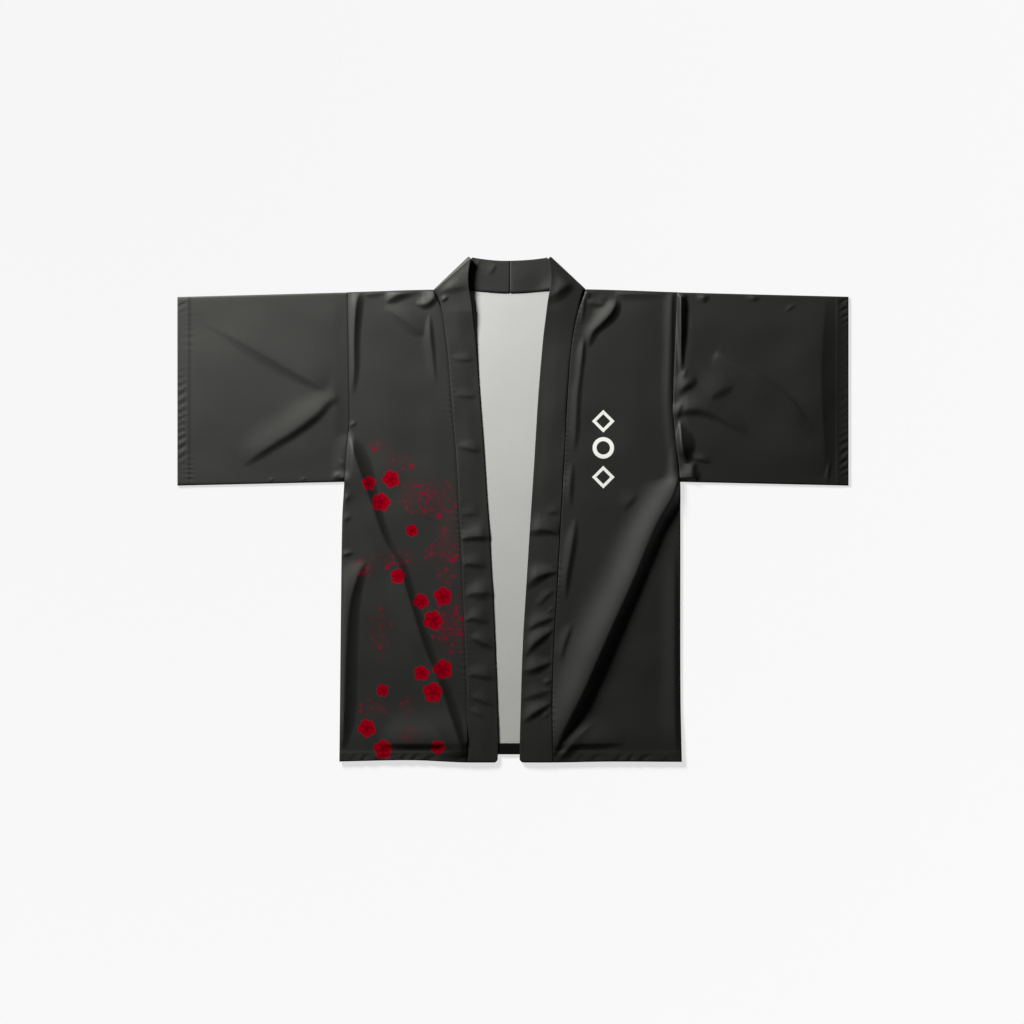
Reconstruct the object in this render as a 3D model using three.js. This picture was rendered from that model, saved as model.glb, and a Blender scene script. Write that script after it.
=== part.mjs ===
// A short kimono jacket laid flat on a table with its front side up, in millimetres.
// +Z is up, +Y runs from the hem to the neck, and +X runs to the wearer's left.
// The origin is on the table under the middle of the jacket.
import * as THREE from "three";

// Driving dimensions
const SPAN = 1056; // cuff to cuff
const LENGTH = 796; // hem to the top of the collar
const CLOTH = 1.2; // wall of one layer of cloth
const BAND = 2.4; // wall of the collar band, which is cloth folded double
const SEAM = 0.3; // gap between two pieces that are sewn together
const HEM_WIDTH = 17.5; // the turned-up hem of the body
const CUFF_WIDTH = 19; // the turned-in hem of a sleeve
const HEM_INSET = 1; // how far the ends of the back's hem stay inside the side seams
const HEM_STEP = 0.5; // how far a hem stands above the cloth beside it
const BODY_LOFT = 2.6; // air under the middle of a front panel
const SLEEVE_LOFT = 2.2; // air inside the middle of a sleeve
const SLEEVE_GAP = 0.8; // least air between the two layers of a sleeve
const CENTRE_BACK = -4.6; // where the two halves of the collar meet
const ARMPIT = 43.5; // underarm of both sleeves
const ARMHOLE_TOP = 342; // shoulder end of both armholes
const CUFF_FOOT = 37.5; // lower edge of both cuffs
const LOFT_EDGE = 32; // how far in from an edge the air reaches its full height
const HEM_CLIMB_START = -350; // from here the fronts climb onto the back's hem
const HEM_CLIMB = 16; // over this length
const PILE = 0.3; // how much of a lower fold counts where two folds meet

const HALF_SPAN = SPAN / 2;
const TOP = LENGTH / 2;
const FRONT_REST = CLOTH + SEAM; // underside of a front panel where it lies on the back
const HEM_REST = FRONT_REST + CLOTH + SEAM; // and where it lies on the back's turned-up hem

// Side edge of the body, armhole and side seam, from the hem to the shoulder
const RIGHT_SIDE = [
  { y: -398, x: -273.2 },
  { y: -146, x: -270.7 },
  { y: -14, x: -268.8 },
  { y: 40, x: -265.6 },
  { y: 84, x: -263 },
  { y: 137, x: -258.2 },
  { y: 342, x: -260.3 },
];
const LEFT_SIDE = [
  { y: -398, x: 265.6 },
  { y: -280, x: 263.6 },
  { y: -8, x: 263.4 },
  { y: 43, x: 263.1 },
  { y: 96, x: 257.8 },
  { y: 160, x: 252.4 },
  { y: 196, x: 253.3 },
  { y: 342, x: 259.3 },
];

// Shoulder line and the tops of the sleeves, from cuff to cuff
const SHOULDER = [
  { x: -528, y: 334.6 },
  { x: -260, y: 342 },
  { x: -124, y: 346 },
  { x: 113, y: 346.5 },
  { x: 259, y: 342 },
  { x: 528, y: 335 },
];

// Upper edge of the back, with the neck seam in its middle, and the collar's edge above it
const BACK_TOP = [
  { x: -260, y: 341.6 },
  { x: -150, y: 343.2 },
  { x: -68, y: 343.3 },
  { x: -48, y: 342.1 },
  { x: -22, y: 340.1 },
  { x: 4, y: 339.7 },
  { x: 28, y: 341.2 },
  { x: 55, y: 343.2 },
  { x: 140, y: 343.2 },
  { x: 259, y: 341.6 },
];
const NECK_TOP = [
  { x: -70, y: TOP },
  { x: -54, y: 395.2 },
  { x: -28, y: 392.2 },
  { x: -5, y: 391.7 },
  { x: 26, y: 393.2 },
  { x: 47, y: 395.7 },
  { x: 59, y: TOP },
];

// Lower edges: a front panel's and the back's
const FRONT_HEM = [
  { x: -273, y: -396.4 },
  { x: -160, y: -394.4 },
  { x: -71, y: -398 },
  { x: 63, y: -398 },
  { x: 150, y: -396.6 },
  { x: 266, y: -397 },
];
const BACK_HEM = [
  { x: -273, y: -394.5 },
  { x: -100, y: -386.5 },
  { x: 0, y: -385.3 },
  { x: 100, y: -386.5 },
  { x: 266, y: -394.5 },
];

// Collar band down each front: x of its seam with the panel and of its free edge.
// seamLift and edgeLift raise the underside where the band rolls over the shoulder.
const RIGHT_BAND = [
  { y: -398, seam: -71.3, edge: -26.5, seamLift: 0, edgeLift: 0 },
  { y: -394.5, seam: -71.3, edge: -24.2, seamLift: 0, edgeLift: 0 },
  { y: -352, seam: -71.6, edge: -23.5, seamLift: 0, edgeLift: 0 },
  { y: -280, seam: -72.9, edge: -25.7, seamLift: 0, edgeLift: 0.4 },
  { y: -184, seam: -76.8, edge: -29.6, seamLift: 0, edgeLift: 1 },
  { y: -50, seam: -82.3, edge: -36.7, seamLift: 0, edgeLift: 1 },
  { y: 95, seam: -90.2, edge: -46.1, seamLift: 0, edgeLift: 0.6 },
  { y: 170, seam: -96.5, edge: -51.5, seamLift: 0, edgeLift: 1.2 },
  { y: 232, seam: -101.2, edge: -56.2, seamLift: 0.2, edgeLift: 3 },
  { y: 275, seam: -106, edge: -59.8, seamLift: 0.6, edgeLift: 5 },
  { y: 312, seam: -111.8, edge: -64, seamLift: 1, edgeLift: 7.2 },
  { y: 343, seam: -124, edge: -67, seamLift: 1.6, edgeLift: 8.8 },
];
const LEFT_BAND = [
  { y: -398, seam: 63.1, edge: 13, seamLift: 0, edgeLift: 0 },
  { y: -394.5, seam: 63.1, edge: 10.4, seamLift: 0, edgeLift: 0 },
  { y: -298, seam: 62, edge: 12.4, seamLift: 0, edgeLift: 0.4 },
  { y: -203, seam: 64.9, edge: 15.7, seamLift: 0, edgeLift: 1 },
  { y: -107, seam: 70.7, edge: 21.6, seamLift: 0, edgeLift: 1 },
  { y: -31, seam: 74.5, edge: 26.3, seamLift: 0, edgeLift: 1 },
  { y: 65, seam: 80.1, edge: 32.6, seamLift: 0, edgeLift: 0.6 },
  { y: 180, seam: 86, edge: 39.7, seamLift: 0, edgeLift: 1.2 },
  { y: 256, seam: 91.6, edge: 46, seamLift: 0.2, edgeLift: 3 },
  { y: 283, seam: 96, edge: 48.8, seamLift: 0.6, edgeLift: 5 },
  { y: 312, seam: 102.6, edge: 52.5, seamLift: 1, edgeLift: 7.2 },
  { y: 343, seam: 113.4, edge: 56, seamLift: 1.6, edgeLift: 8.8 },
];
// Shoulder fold of the collar: where it starts at the seam and ends at the peak
const RIGHT_FOLD = { seamX: -124.2, seamY: 346.8, peakX: -69.8, peakY: TOP, seamRoll: 1.6, peakRoll: 4.4 };
const LEFT_FOLD = { seamX: 113.6, seamY: 347.4, peakX: 59.2, peakY: TOP, seamRoll: 1.6, peakRoll: 4.4 };

// Folds that lift the cloth. Each follows a line, listed from its first point to its last.
// left and right are how far it falls away on each side of that walk, seen from above.
// fade is the length over which it rises and dies at its ends, and high is its height.
const RIGHT_FRONT_FOLDS = [
  { name: "armpit to hem", line: [[-256, 122], [-220, -3], [-180, -85], [-131, -237], [-84, -376]],
    left: 15, right: 34, high: 4.6, fade: 45 },
  { name: "side seam", line: [[-240, -92], [-258, -128], [-265, -190], [-265, -300], [-270, -352]],
    left: 14, right: 12, high: 4.4, fade: 40 },
  { name: "along the armhole", line: [[-248, 338], [-252, 282], [-255, 219], [-258, 176]],
    left: 14, right: 16, high: 3.2, fade: 30 },
  { name: "under the shoulder", line: [[-198, 322], [-166, 304], [-134, 284]],
    left: 26, right: 14, high: 2.2, fade: 20 },
  { name: "pucker at the neck", line: [[-163, 326], [-147, 332], [-131, 341]],
    left: 12, right: 12, high: 4.6, fade: 10 },
  { name: "beside the collar", line: [[-137, 307], [-129, 242], [-122, 188]],
    left: 12, right: 18, high: 2.4, fade: 35 },
];
const LEFT_FRONT_FOLDS = [
  { name: "armpit to hem", line: [[264, 74], [237, -3], [207, -55], [151, -203], [97, -310], [66, -380]],
    left: 25, right: 36, high: 9.5, fade: 70 },
  { name: "along the armhole", line: [[254, 344], [252, 266], [249, 172], [255, 93], [264, 40]],
    left: 12, right: 22, high: 4.6, fade: 12 },
  { name: "loop at the neck", line: [[166, 340], [157, 313], [140, 294], [121, 274]],
    left: 14, right: 22, high: 7, fade: 18 },
  { name: "beside the collar", line: [[97, 262], [94, 172], [89, 93], [84, 12]],
    left: 15, right: 10, high: 3, fade: 45 },
  { name: "beside the collar, lower", line: [[86, -6], [77, -80], [73, -150]],
    left: 18, right: 12, high: 3, fade: 40 },
  { name: "short fold at the hem", line: [[130, -326], [99, -358], [78, -384]],
    left: 14, right: 14, high: 4.4, fade: 22 },
  { name: "side seam", line: [[258, -110], [259, -230], [260, -378]],
    left: 12, right: 26, high: 3.6, fade: 50 },
];
const RIGHT_SLEEVE_FOLDS = [
  { name: "across the sleeve", line: [[-488, 300], [-390, 246], [-286, 190]],
    left: 46, right: 18, high: 3, fade: 60 },
  { name: "up to the armhole", line: [[-272, 178], [-297, 165], [-325, 134], [-374, 106], [-430, 74]],
    left: 15, right: 26, high: 6, fade: 38 },
  { name: "along the armhole", line: [[-276, 330], [-276, 200], [-280, 70]],
    left: 14, right: 22, high: 2, fade: 40 },
];
const LEFT_SLEEVE_FOLDS = [
  { name: "along the armhole", line: [[252, 344], [249, 266], [246, 172], [252, 93], [260, 30]],
    left: 15, right: 15, high: 4.2, fade: 10 },
  { name: "across the sleeve", line: [[318, 246], [371, 213], [428, 179], [482, 116]],
    left: 34, right: 60, high: 4.2, fade: 60 },
  { name: "from the armhole", line: [[270, 158], [319, 152], [362, 124], [396, 106]],
    left: 22, right: 12, high: 3.4, fade: 40 },
  { name: "into the underarm", line: [[270, 150], [292, 116], [306, 72]],
    left: 22, right: 12, high: 3.4, fade: 30 },
  { name: "short one above it", line: [[268, 192], [296, 200], [344, 194]],
    left: 14, right: 10, high: 2.4, fade: 22 },
];

// Creases across the collar band. y is at the middle of the band, slant is how much higher
// the crease is at the seam than at the free edge, and above and below are its two widths.
const RIGHT_BAND_CREASES = [
  { y: 330, slant: 20, above: 16, below: 12, high: 1.2 },
  { y: 233, slant: 0, above: 16, below: 9, high: 0.7 },
  { y: 179, slant: 0, above: 16, below: 9, high: 0.8 },
  { y: 97, slant: 3, above: 16, below: 9, high: 1 },
  { y: -8, slant: 0, above: 14, below: 9, high: 1 },
  { y: -44, slant: -4, above: 20, below: 10, high: 3.4 },
  { y: -86, slant: 4, above: 16, below: 10, high: 2.2 },
  { y: -135, slant: 0, above: 18, below: 12, high: 2.6 },
  { y: -170, slant: 6, above: 14, below: 10, high: 1.4 },
  { y: -205, slant: 16, above: 14, below: 11, high: 1.9 },
  { y: -261, slant: 4, above: 18, below: 11, high: 1.7 },
  { y: -316, slant: 10, above: 18, below: 12, high: 1 },
];
const LEFT_BAND_CREASES = [
  { y: 336, slant: 27, above: 16, below: 13, high: 1.6 },
  { y: -6, slant: 0, above: 14, below: 9, high: 1 },
  { y: -36, slant: -4, above: 20, below: 10, high: 3.4 },
  { y: -106, slant: 22, above: 16, below: 11, high: 2.8 },
  { y: -138, slant: 18, above: 12, below: 10, high: 1.6 },
  { y: -171, slant: 20, above: 12, below: 10, high: 1.5 },
  { y: -204, slant: 30, above: 16, below: 11, high: 2.6 },
  { y: -244, slant: 22, above: 16, below: 11, high: 2.2 },
  { y: -313, slant: 30, above: 18, below: 12, high: 2.4 },
];

// Grid of each piece
const FRONT_COLUMNS = 14;
const FRONT_ROWS = 50;
const BACK_COLUMNS = 24;
const BACK_ROWS = [-394, -300, -200, -100, -14]; // heights of the rows below the armhole
const SHOULDER_ROW = 343; // the row that becomes the shoulder edge
const LEAST_ROW = 1; // the rows below it stay at least this far down
const HEM_EDGE = 1.2; // half of the width over which the cloth steps up onto its hem
const SLEEVE_SECTIONS = 19;
const SLEEVE_UPPER = 19; // steps across the upper layer of a sleeve
const SLEEVE_LOWER = 5; // and across its lower layer, which lies flat
const FOLD_EDGE = 14; // how far in from a sleeve's folded edges a fold reaches its height
const SLEEVE_ROUND = 1.6; // how far in the folded edges of a sleeve round off
const BAND_STEP = 9.5;
const BAND_ACROSS = 5; // steps across the upper face of the band
const ROUND_EDGE = 1.018; // how far across the band its rounded free edge reaches
const SEAM_CREASE = 0.3; // how much of a crease is left at the seam
const CREASE_IN = 0.12; // how far across the band a crease reaches its full height
const CREASE_UNDER = 0.85; // how much of a crease its underside follows
const CORNER = 3.5; // height of the rounded corner at a band's foot
const FAN_START = 312; // where the band's sections start to turn
const FAN_SECTIONS = 6; // sections that turn towards the shoulder fold
const NECK_EASE = 1; // how far the band's seam eases away from the front at the neck
const ROLL_SECTIONS = 6; // sections round the shoulder fold
const NECK_SECTIONS = 8; // sections behind the neck
const NECK_SETTLE = 0.4; // share of the way in which the band comes to the neck's curve
const LINE_STEPS = 24; // straight pieces that a fold's line is measured with

const MATERIALS = {
  shell: new THREE.MeshStandardMaterial({ color: 0x2b2b2a, roughness: 0.6, metalness: 0 }),
  collar: new THREE.MeshStandardMaterial({ color: 0x282827, roughness: 0.6, metalness: 0 }),
  inside: new THREE.MeshStandardMaterial({ color: 0xbfc0bb, roughness: 0.85, metalness: 0 }),
  hem: new THREE.MeshStandardMaterial({ color: 0x1a1a1a, roughness: 0.7, metalness: 0 }),
};

const clamp01 = (t) => Math.min(1, Math.max(0, t));
const smooth = (t) => clamp01(t) ** 2 * (3 - 2 * clamp01(t));
const mix = (a, b, t) => a + (b - a) * t;

// Value of one column of a table at a place along another column, on a smooth curve.
function read(table, along, column, at) {
  const last = table.length - 1;
  if (at <= table[0][along]) return table[0][column];
  if (at >= table[last][along]) return table[last][column];
  const i = table.findIndex((row) => row[along] > at) - 1;
  const rise = (a, b) => (table[b][column] - table[a][column]) / (table[b][along] - table[a][along]);
  const slope = (k) => (k === 0 ? rise(0, 1) : k === last ? rise(last - 1, last) : rise(k - 1, k + 1));
  const width = table[i + 1][along] - table[i][along];
  const t = (at - table[i][along]) / width;
  const hermite = (2 * t - 3) * t * t;
  return (
    table[i][column] * (1 + hermite) -
    table[i + 1][column] * hermite +
    slope(i) * width * t * (1 - t) ** 2 -
    slope(i + 1) * width * t * t * (1 - t)
  );
}

const sideX = (side, y) => read(side, "y", "x", y);
const shoulderY = (x) => read(SHOULDER, "x", "y", x);
const backTopY = (x) => read(BACK_TOP, "x", "y", x);
const frontHemY = (x) => read(FRONT_HEM, "x", "y", x);
const backHemY = (x) => read(BACK_HEM, "x", "y", x);

// A fold with its line sampled once, ready to be measured against.
function prepared(fold) {
  const curve = new THREE.SplineCurve(fold.line.map(([x, y]) => new THREE.Vector2(x, y)));
  const points = curve.getSpacedPoints(LINE_STEPS);
  return { ...fold, points, step: curve.getLength() / LINE_STEPS };
}

// How far one fold lifts the cloth at a place.
function foldHeight(fold, x, y) {
  let best = { distance: Infinity };
  for (let i = 0; i < LINE_STEPS; i++) {
    const [a, b] = [fold.points[i], fold.points[i + 1]];
    const [dx, dy] = [b.x - a.x, b.y - a.y];
    const t = clamp01(((x - a.x) * dx + (y - a.y) * dy) / (dx * dx + dy * dy));
    const distance = Math.hypot(x - a.x - t * dx, y - a.y - t * dy);
    if (distance < best.distance) {
      const side = dx * (y - a.y) - dy * (x - a.x);
      best = { distance, side, travelled: (i + t) * fold.step };
    }
  }
  const width = best.side > 0 ? fold.left : fold.right;
  const length = fold.step * LINE_STEPS;
  const ends = smooth(best.travelled / fold.fade) * smooth((length - best.travelled) / fold.fade);
  return fold.high * ends * (1 - smooth(best.distance / width));
}

// Two folds that meet don't pile up: the higher one counts whole and the rest a little.
function relief(folds, x, y) {
  const heights = folds.map((fold) => foldHeight(fold, x, y));
  const highest = Math.max(...heights);
  const rest = heights.reduce((sum, h) => sum + h, 0) - highest;
  return highest + PILE * rest;
}

// Height of the creases across a band at a place.
function creaseHeight(creases, y, across) {
  return creases.reduce((highest, crease) => {
    const away = y - (crease.y + crease.slant * (0.5 - across));
    const fall = away > 0 ? away / crease.above : -away / crease.below;
    return Math.max(highest, crease.high * (1 - smooth(fall)));
  }, 0);
}

// A geometry from points and triangles, turned so that its faces point outwards.
function closedGeometry(points, triangles) {
  const at = (i) => points[i];
  let volume = 0;
  for (const [a, b, c] of triangles) volume += at(a).dot(at(b).clone().cross(at(c)));
  const turned = volume < 0 ? triangles.map(([a, b, c]) => [a, c, b]) : triangles;
  return new THREE.BufferGeometry()
    .setFromPoints(points)
    .setIndex(turned.flat());
}

// A wall of cloth over a grid. place(u, row) gives x, y, underside and top, where u runs from 0
// to 1 over the columns.
function wall(columns, rows, place) {
  const points = [];
  const triangles = [];
  const quad = (a, b, c, d) => triangles.push([a, b, c], [a, c, d]);
  const stride = columns + 1;
  const layer = stride * rows.length;
  for (const face of ["over", "under"]) {
    for (const row of rows) {
      for (let i = 0; i <= columns; i++) {
        const p = place(i / columns, row);
        points.push(new THREE.Vector3(p.x, p.y, p[face]));
      }
    }
  }
  for (let j = 0; j < rows.length - 1; j++) {
    for (let i = 0; i < columns; i++) {
      const a = j * stride + i;
      quad(a, a + 1, a + stride + 1, a + stride);
      quad(layer + a, layer + a + stride, layer + a + stride + 1, layer + a + 1);
    }
  }
  const rim = [];
  for (let i = 0; i < columns; i++) rim.push(i);
  for (let j = 0; j < rows.length - 1; j++) rim.push(j * stride + columns);
  for (let i = columns; i > 0; i--) rim.push((rows.length - 1) * stride + i);
  for (let j = rows.length - 1; j > 0; j--) rim.push(j * stride);
  rim.forEach((a, k) => {
    const b = rim[(k + 1) % rim.length];
    quad(a, layer + a, layer + b, b);
  });
  return closedGeometry(points, triangles);
}

// Adds the triangles of a skin through rings of points. first is the first ring's first point.
function skin(rings, triangles, first) {
  const count = rings[0].length;
  for (let s = 0; s < rings.length - 1; s++) {
    for (let k = 0; k < count; k++) {
      const [a, b] = [first + s * count + k, first + s * count + ((k + 1) % count)];
      triangles.push([a, b, b + count], [a, b + count, a + count]);
    }
  }
}

// A solid strip through rings, closed at both ends.
function strip(rings) {
  const points = rings.flat();
  const triangles = [];
  const count = rings[0].length;
  skin(rings, triangles, 0);
  const end = (rings.length - 1) * count;
  for (let k = 1; k < count - 1; k++) triangles.push([0, k + 1, k], [end, end + k, end + k + 1]);
  return closedGeometry(points, triangles);
}

// A tube with a wall, open at both ends, through outer rings and inner rings.
function tube(outer, inner) {
  const points = [...outer.flat(), ...inner.flat()];
  const count = outer[0].length;
  const layer = outer.length * count;
  const triangles = [];
  skin(outer, triangles, 0);
  const inside = [];
  skin(inner, inside, layer);
  inside.forEach(([a, b, c]) => triangles.push([a, c, b]));
  const last = layer - count;
  for (let k = 0; k < count; k++) {
    const next = (k + 1) % count;
    triangles.push([k, layer + k, layer + next], [k, layer + next, next]);
    const [outerNext, innerNext] = [last + next, layer + last + next];
    triangles.push([last + k, outerNext, innerNext], [last + k, innerNext, layer + last + k]);
  }
  return closedGeometry(points, triangles);
}

// Height up the armhole, from the underarm to the shoulder.
const armholeY = (t) => mix(ARMPIT + SLEEVE_ROUND, ARMHOLE_TOP - SLEEVE_ROUND, t);

// Underside of what lies on the back: it climbs onto the back's turned-up hem.
function restOnBack(y) {
  return mix(FRONT_REST, HEM_REST, smooth((HEM_CLIMB_START - y) / HEM_CLIMB));
}

// A front panel, drawn from its left to its right as seen from above.
function frontPanel(side, band, folds) {
  const ready = folds.map(prepared);
  const outward = Math.sign(side[0].x);
  const stitched = HEM_WIDTH - TOP;
  const rowAt = (i) => mix(stitched, SHOULDER_ROW, (i + 1) / FRONT_ROWS);
  const above = Array.from({ length: FRONT_ROWS }, (_, i) => rowAt(i));
  const rows = [-TOP, stitched - HEM_EDGE, stitched + HEM_EDGE, ...above];
  return wall(FRONT_COLUMNS, rows, (u, row) => {
    const inner = read(band, "y", "seam", row) + outward * SEAM;
    const outer = sideX(side, row);
    const x = outward < 0 ? mix(outer, inner, u) : mix(inner, outer, u);
    const y = row === -TOP ? frontHemY(x) : row === SHOULDER_ROW ? shoulderY(x) - SEAM : row;
    const inFrom = (edge) => smooth(edge / LOFT_EDGE);
    const loft = BODY_LOFT * inFrom(Math.abs(x - outer)) * inFrom(Math.abs(x - inner))
      * inFrom(y + TOP) * inFrom(SHOULDER_ROW - y);
    const hemmed = row < stitched ? HEM_STEP : 0;
    const under = restOnBack(y) + loft + relief(ready, x, y);
    return { x, y, under, over: under + CLOTH + hemmed };
  });
}

function backPanel() {
  const armhole = Array.from({ length: SLEEVE_LOWER + 1 }, (_, k) => armholeY(k / SLEEVE_LOWER));
  const rows = [...BACK_ROWS, ...armhole, SHOULDER_ROW];
  return wall(BACK_COLUMNS, rows, (u, row) => {
    const x = mix(sideX(RIGHT_SIDE, row), sideX(LEFT_SIDE, row), u);
    const top = backTopY(x);
    const inside = Math.min(row, top - LEAST_ROW);
    const y = row === rows[0] ? backHemY(x) : row === SHOULDER_ROW ? top : inside;
    return { x, y, under: 0, over: CLOTH };
  });
}

function backHem() {
  return wall(BACK_COLUMNS, [0, HEM_WIDTH], (u, row) => {
    const x = mix(sideX(RIGHT_SIDE, -TOP) + HEM_INSET, sideX(LEFT_SIDE, -TOP) - HEM_INSET, u);
    return { x, y: backHemY(x) + row, under: FRONT_REST, over: FRONT_REST + CLOTH };
  });
}

// A sleeve is one tube of cloth, folded along the shoulder line and closed under the arm.
function sleeve(side, folds, cuffX) {
  const ready = folds.map(prepared);
  const outward = Math.sign(cuffX);
  const armX = (y) => sideX(side, y) + outward * SEAM;
  const rings = { outer: [], inner: [] };
  const length = Math.abs(cuffX - armX(ARMPIT));
  const stitched = 1 - CUFF_WIDTH / length;
  const stepAt = (i) => (i / (SLEEVE_SECTIONS - 1)) * stitched;
  const steps = Array.from({ length: SLEEVE_SECTIONS }, (_, i) => stepAt(i));
  for (const u of [...steps, stitched + (2 * HEM_EDGE) / length, 1]) {
    const hemmed = u > stitched ? HEM_STEP : 0;
    const rim = { low: mix(ARMPIT, CUFF_FOOT, u), high: shoulderY(mix(armX(ARMPIT), cuffX, u)) };
    const at = (w, lift) => {
      const y = mix(rim.low, rim.high, w);
      const x = mix(armX(y), cuffX, u);
      return new THREE.Vector3(x, y, lift(x, y));
    };
    const upper = (x, y) => {
      const fromEdge = Math.min(y - rim.low, rim.high - y);
      const fromEnd = Math.min(u, 1 - u) * length;
      const loft = SLEEVE_LOFT * smooth(fromEdge / LOFT_EDGE) * smooth(fromEnd / LOFT_EDGE);
      const folded = smooth(fromEdge / FOLD_EDGE) * relief(ready, x, y);
      return 2 * CLOTH + SLEEVE_GAP + loft + hemmed + folded;
    };
    const inset = SLEEVE_ROUND / (rim.high - rim.low);
    const middle = CLOTH + SLEEVE_GAP / 2;
    const loop = (thick) => {
      const deep = thick / (rim.high - rim.low);
      const ring = [at(deep, () => middle)];
      for (let k = 0; k <= SLEEVE_UPPER; k++) {
        const w = mix(deep + inset, 1 - deep - inset, k / SLEEVE_UPPER);
        ring.push(at(w, (x, y) => upper(x, y) - thick));
      }
      ring.push(at(1 - deep, () => middle));
      for (let k = SLEEVE_LOWER; k >= 0; k--) {
        ring.push(at(mix(deep + inset, 1 - deep - inset, k / SLEEVE_LOWER), () => thick));
      }
      return ring;
    };
    rings.outer.push(loop(0));
    rings.inner.push(loop(CLOTH));
  }
  return tube(rings.outer, rings.inner);
}

// Half of the collar: a doubled band that runs up one front, rolls over the shoulder along a
// slanting fold, and lies behind the neck to the centre back seam.
function collarHalf(band, creases, fold) {
  const rings = [];
  const seamSide = Math.sign(fold.seamX);
  // One ring of the band: across runs from the seam to the free edge, height from its middle.
  const ring = (point) => {
    const loop = [];
    for (let k = 0; k <= BAND_ACROSS; k++) loop.push(point(k / BAND_ACROSS, BAND / 2));
    loop.push(point(ROUND_EDGE, 0));
    for (const across of [1, 0.5, 0]) loop.push(point(across, -BAND / 2));
    return loop;
  };
  const flatRing = ({ seam, edge, seamZ, edgeZ }) => ring((across, height) => {
    const x = mix(seam.x, edge.x, across);
    const y = mix(seam.y, edge.y, across);
    const crease = creaseHeight(creases, y, across) * mix(SEAM_CREASE, 1, smooth(across / CREASE_IN));
    const lift = height > 0 ? crease : crease * CREASE_UNDER;
    return new THREE.Vector3(x, y, mix(seamZ, edgeZ, across) + BAND / 2 + height + lift);
  });

  const bandAt = (y) => ({
    seam: { x: read(band, "y", "seam", y), y },
    edge: { x: read(band, "y", "edge", y), y },
    seamZ: restOnBack(y) + read(band, "y", "seamLift", y),
    edgeZ: restOnBack(y) + read(band, "y", "edgeLift", y),
  });
  const count = Math.round((FAN_START + TOP) / BAND_STEP);
  for (let i = 0; i <= count; i++) {
    const here = bandAt(i === 0 ? -TOP : mix(-TOP + CORNER, FAN_START, (i - 1) / (count - 1)));
    rings.push(flatRing(here));
  }

  // Round the fold the band turns about a line that lies one roll inside the fold.
  const along = new THREE.Vector2(fold.peakX - fold.seamX, fold.peakY - fold.seamY).normalize();
  const out = new THREE.Vector2(seamSide * along.y, -seamSide * along.x);
  const rollAt = (across) => mix(fold.seamRoll, fold.peakRoll, across);
  const axis = (across) => {
    const reach = rollAt(across) + BAND / 2;
    return {
      x: mix(fold.seamX, fold.peakX, across) - out.x * reach,
      y: mix(fold.seamY, fold.peakY, across) - out.y * reach,
    };
  };
  const upperZ = (across) => BAND / 2 + 2 * rollAt(across);
  const start = { seam: axis(0), edge: axis(1) };
  const last = bandAt(FAN_START);
  for (let i = 1; i < FAN_SECTIONS; i++) {
    const t = i / FAN_SECTIONS;
    const bend = seamSide * NECK_EASE * Math.sin(Math.PI * t);
    rings.push(flatRing({
      seam: { x: mix(last.seam.x, start.seam.x, t) - bend, y: mix(last.seam.y, start.seam.y, t) },
      edge: { x: mix(last.edge.x, start.edge.x, t), y: mix(last.edge.y, start.edge.y, t) },
      seamZ: mix(last.seamZ, upperZ(0) - BAND / 2, smooth(t)),
      edgeZ: mix(last.edgeZ, upperZ(1) - BAND / 2, t),
    }));
  }
  for (let i = 0; i <= ROLL_SECTIONS; i++) {
    const angle = (Math.PI * i) / ROLL_SECTIONS;
    rings.push(ring((across, height) => {
      const centre = axis(across);
      const reach = (rollAt(across) + height) * Math.sin(angle);
      const z = BAND / 2 + rollAt(across) + (rollAt(across) + height) * Math.cos(angle);
      return new THREE.Vector3(centre.x + out.x * reach, centre.y + out.y * reach, z);
    }));
  }
  // Behind the neck the same face of the band looks down.
  const centreX = CENTRE_BACK + (seamSide * SEAM) / 2;
  for (let i = 1; i <= NECK_SECTIONS; i++) {
    const t = i / NECK_SECTIONS;
    const seamX = mix(start.seam.x, centreX, t);
    const edgeX = mix(start.edge.x, centreX, t);
    const settle = smooth(t / NECK_SETTLE);
    const seamY = mix(start.seam.y, backTopY(seamX) + SEAM, settle);
    const edgeY = mix(start.edge.y, read(NECK_TOP, "x", "y", edgeX), settle);
    rings.push(ring((across, height) =>
      new THREE.Vector3(mix(seamX, edgeX, across), mix(seamY, edgeY, across), BAND / 2 - height)));
  }
  return strip(rings);
}

const { shell, collar, inside, hem } = MATERIALS;
const rightFront = frontPanel(RIGHT_SIDE, RIGHT_BAND, RIGHT_FRONT_FOLDS);
const leftFront = frontPanel(LEFT_SIDE, LEFT_BAND, LEFT_FRONT_FOLDS);
const rightCollar = collarHalf(RIGHT_BAND, RIGHT_BAND_CREASES, RIGHT_FOLD);
const leftCollar = collarHalf(LEFT_BAND, LEFT_BAND_CREASES, LEFT_FOLD);
const PIECES = [
  { name: "back", geometry: backPanel(), material: inside },
  { name: "back_hem", geometry: backHem(), material: hem },
  { name: "front_right", geometry: rightFront, material: shell },
  { name: "front_left", geometry: leftFront, material: shell },
  { name: "sleeve_right", geometry: sleeve(RIGHT_SIDE, RIGHT_SLEEVE_FOLDS, -HALF_SPAN), material: shell },
  { name: "sleeve_left", geometry: sleeve(LEFT_SIDE, LEFT_SLEEVE_FOLDS, HALF_SPAN), material: shell },
  { name: "collar_right", geometry: rightCollar, material: collar },
  { name: "collar_left", geometry: leftCollar, material: collar },
];

const jacket = new THREE.Group();
for (const { name, geometry, material } of PIECES) {
  const mesh = new THREE.Mesh(geometry, material);
  mesh.name = name;
  jacket.add(mesh);
}

export default jacket;
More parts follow.
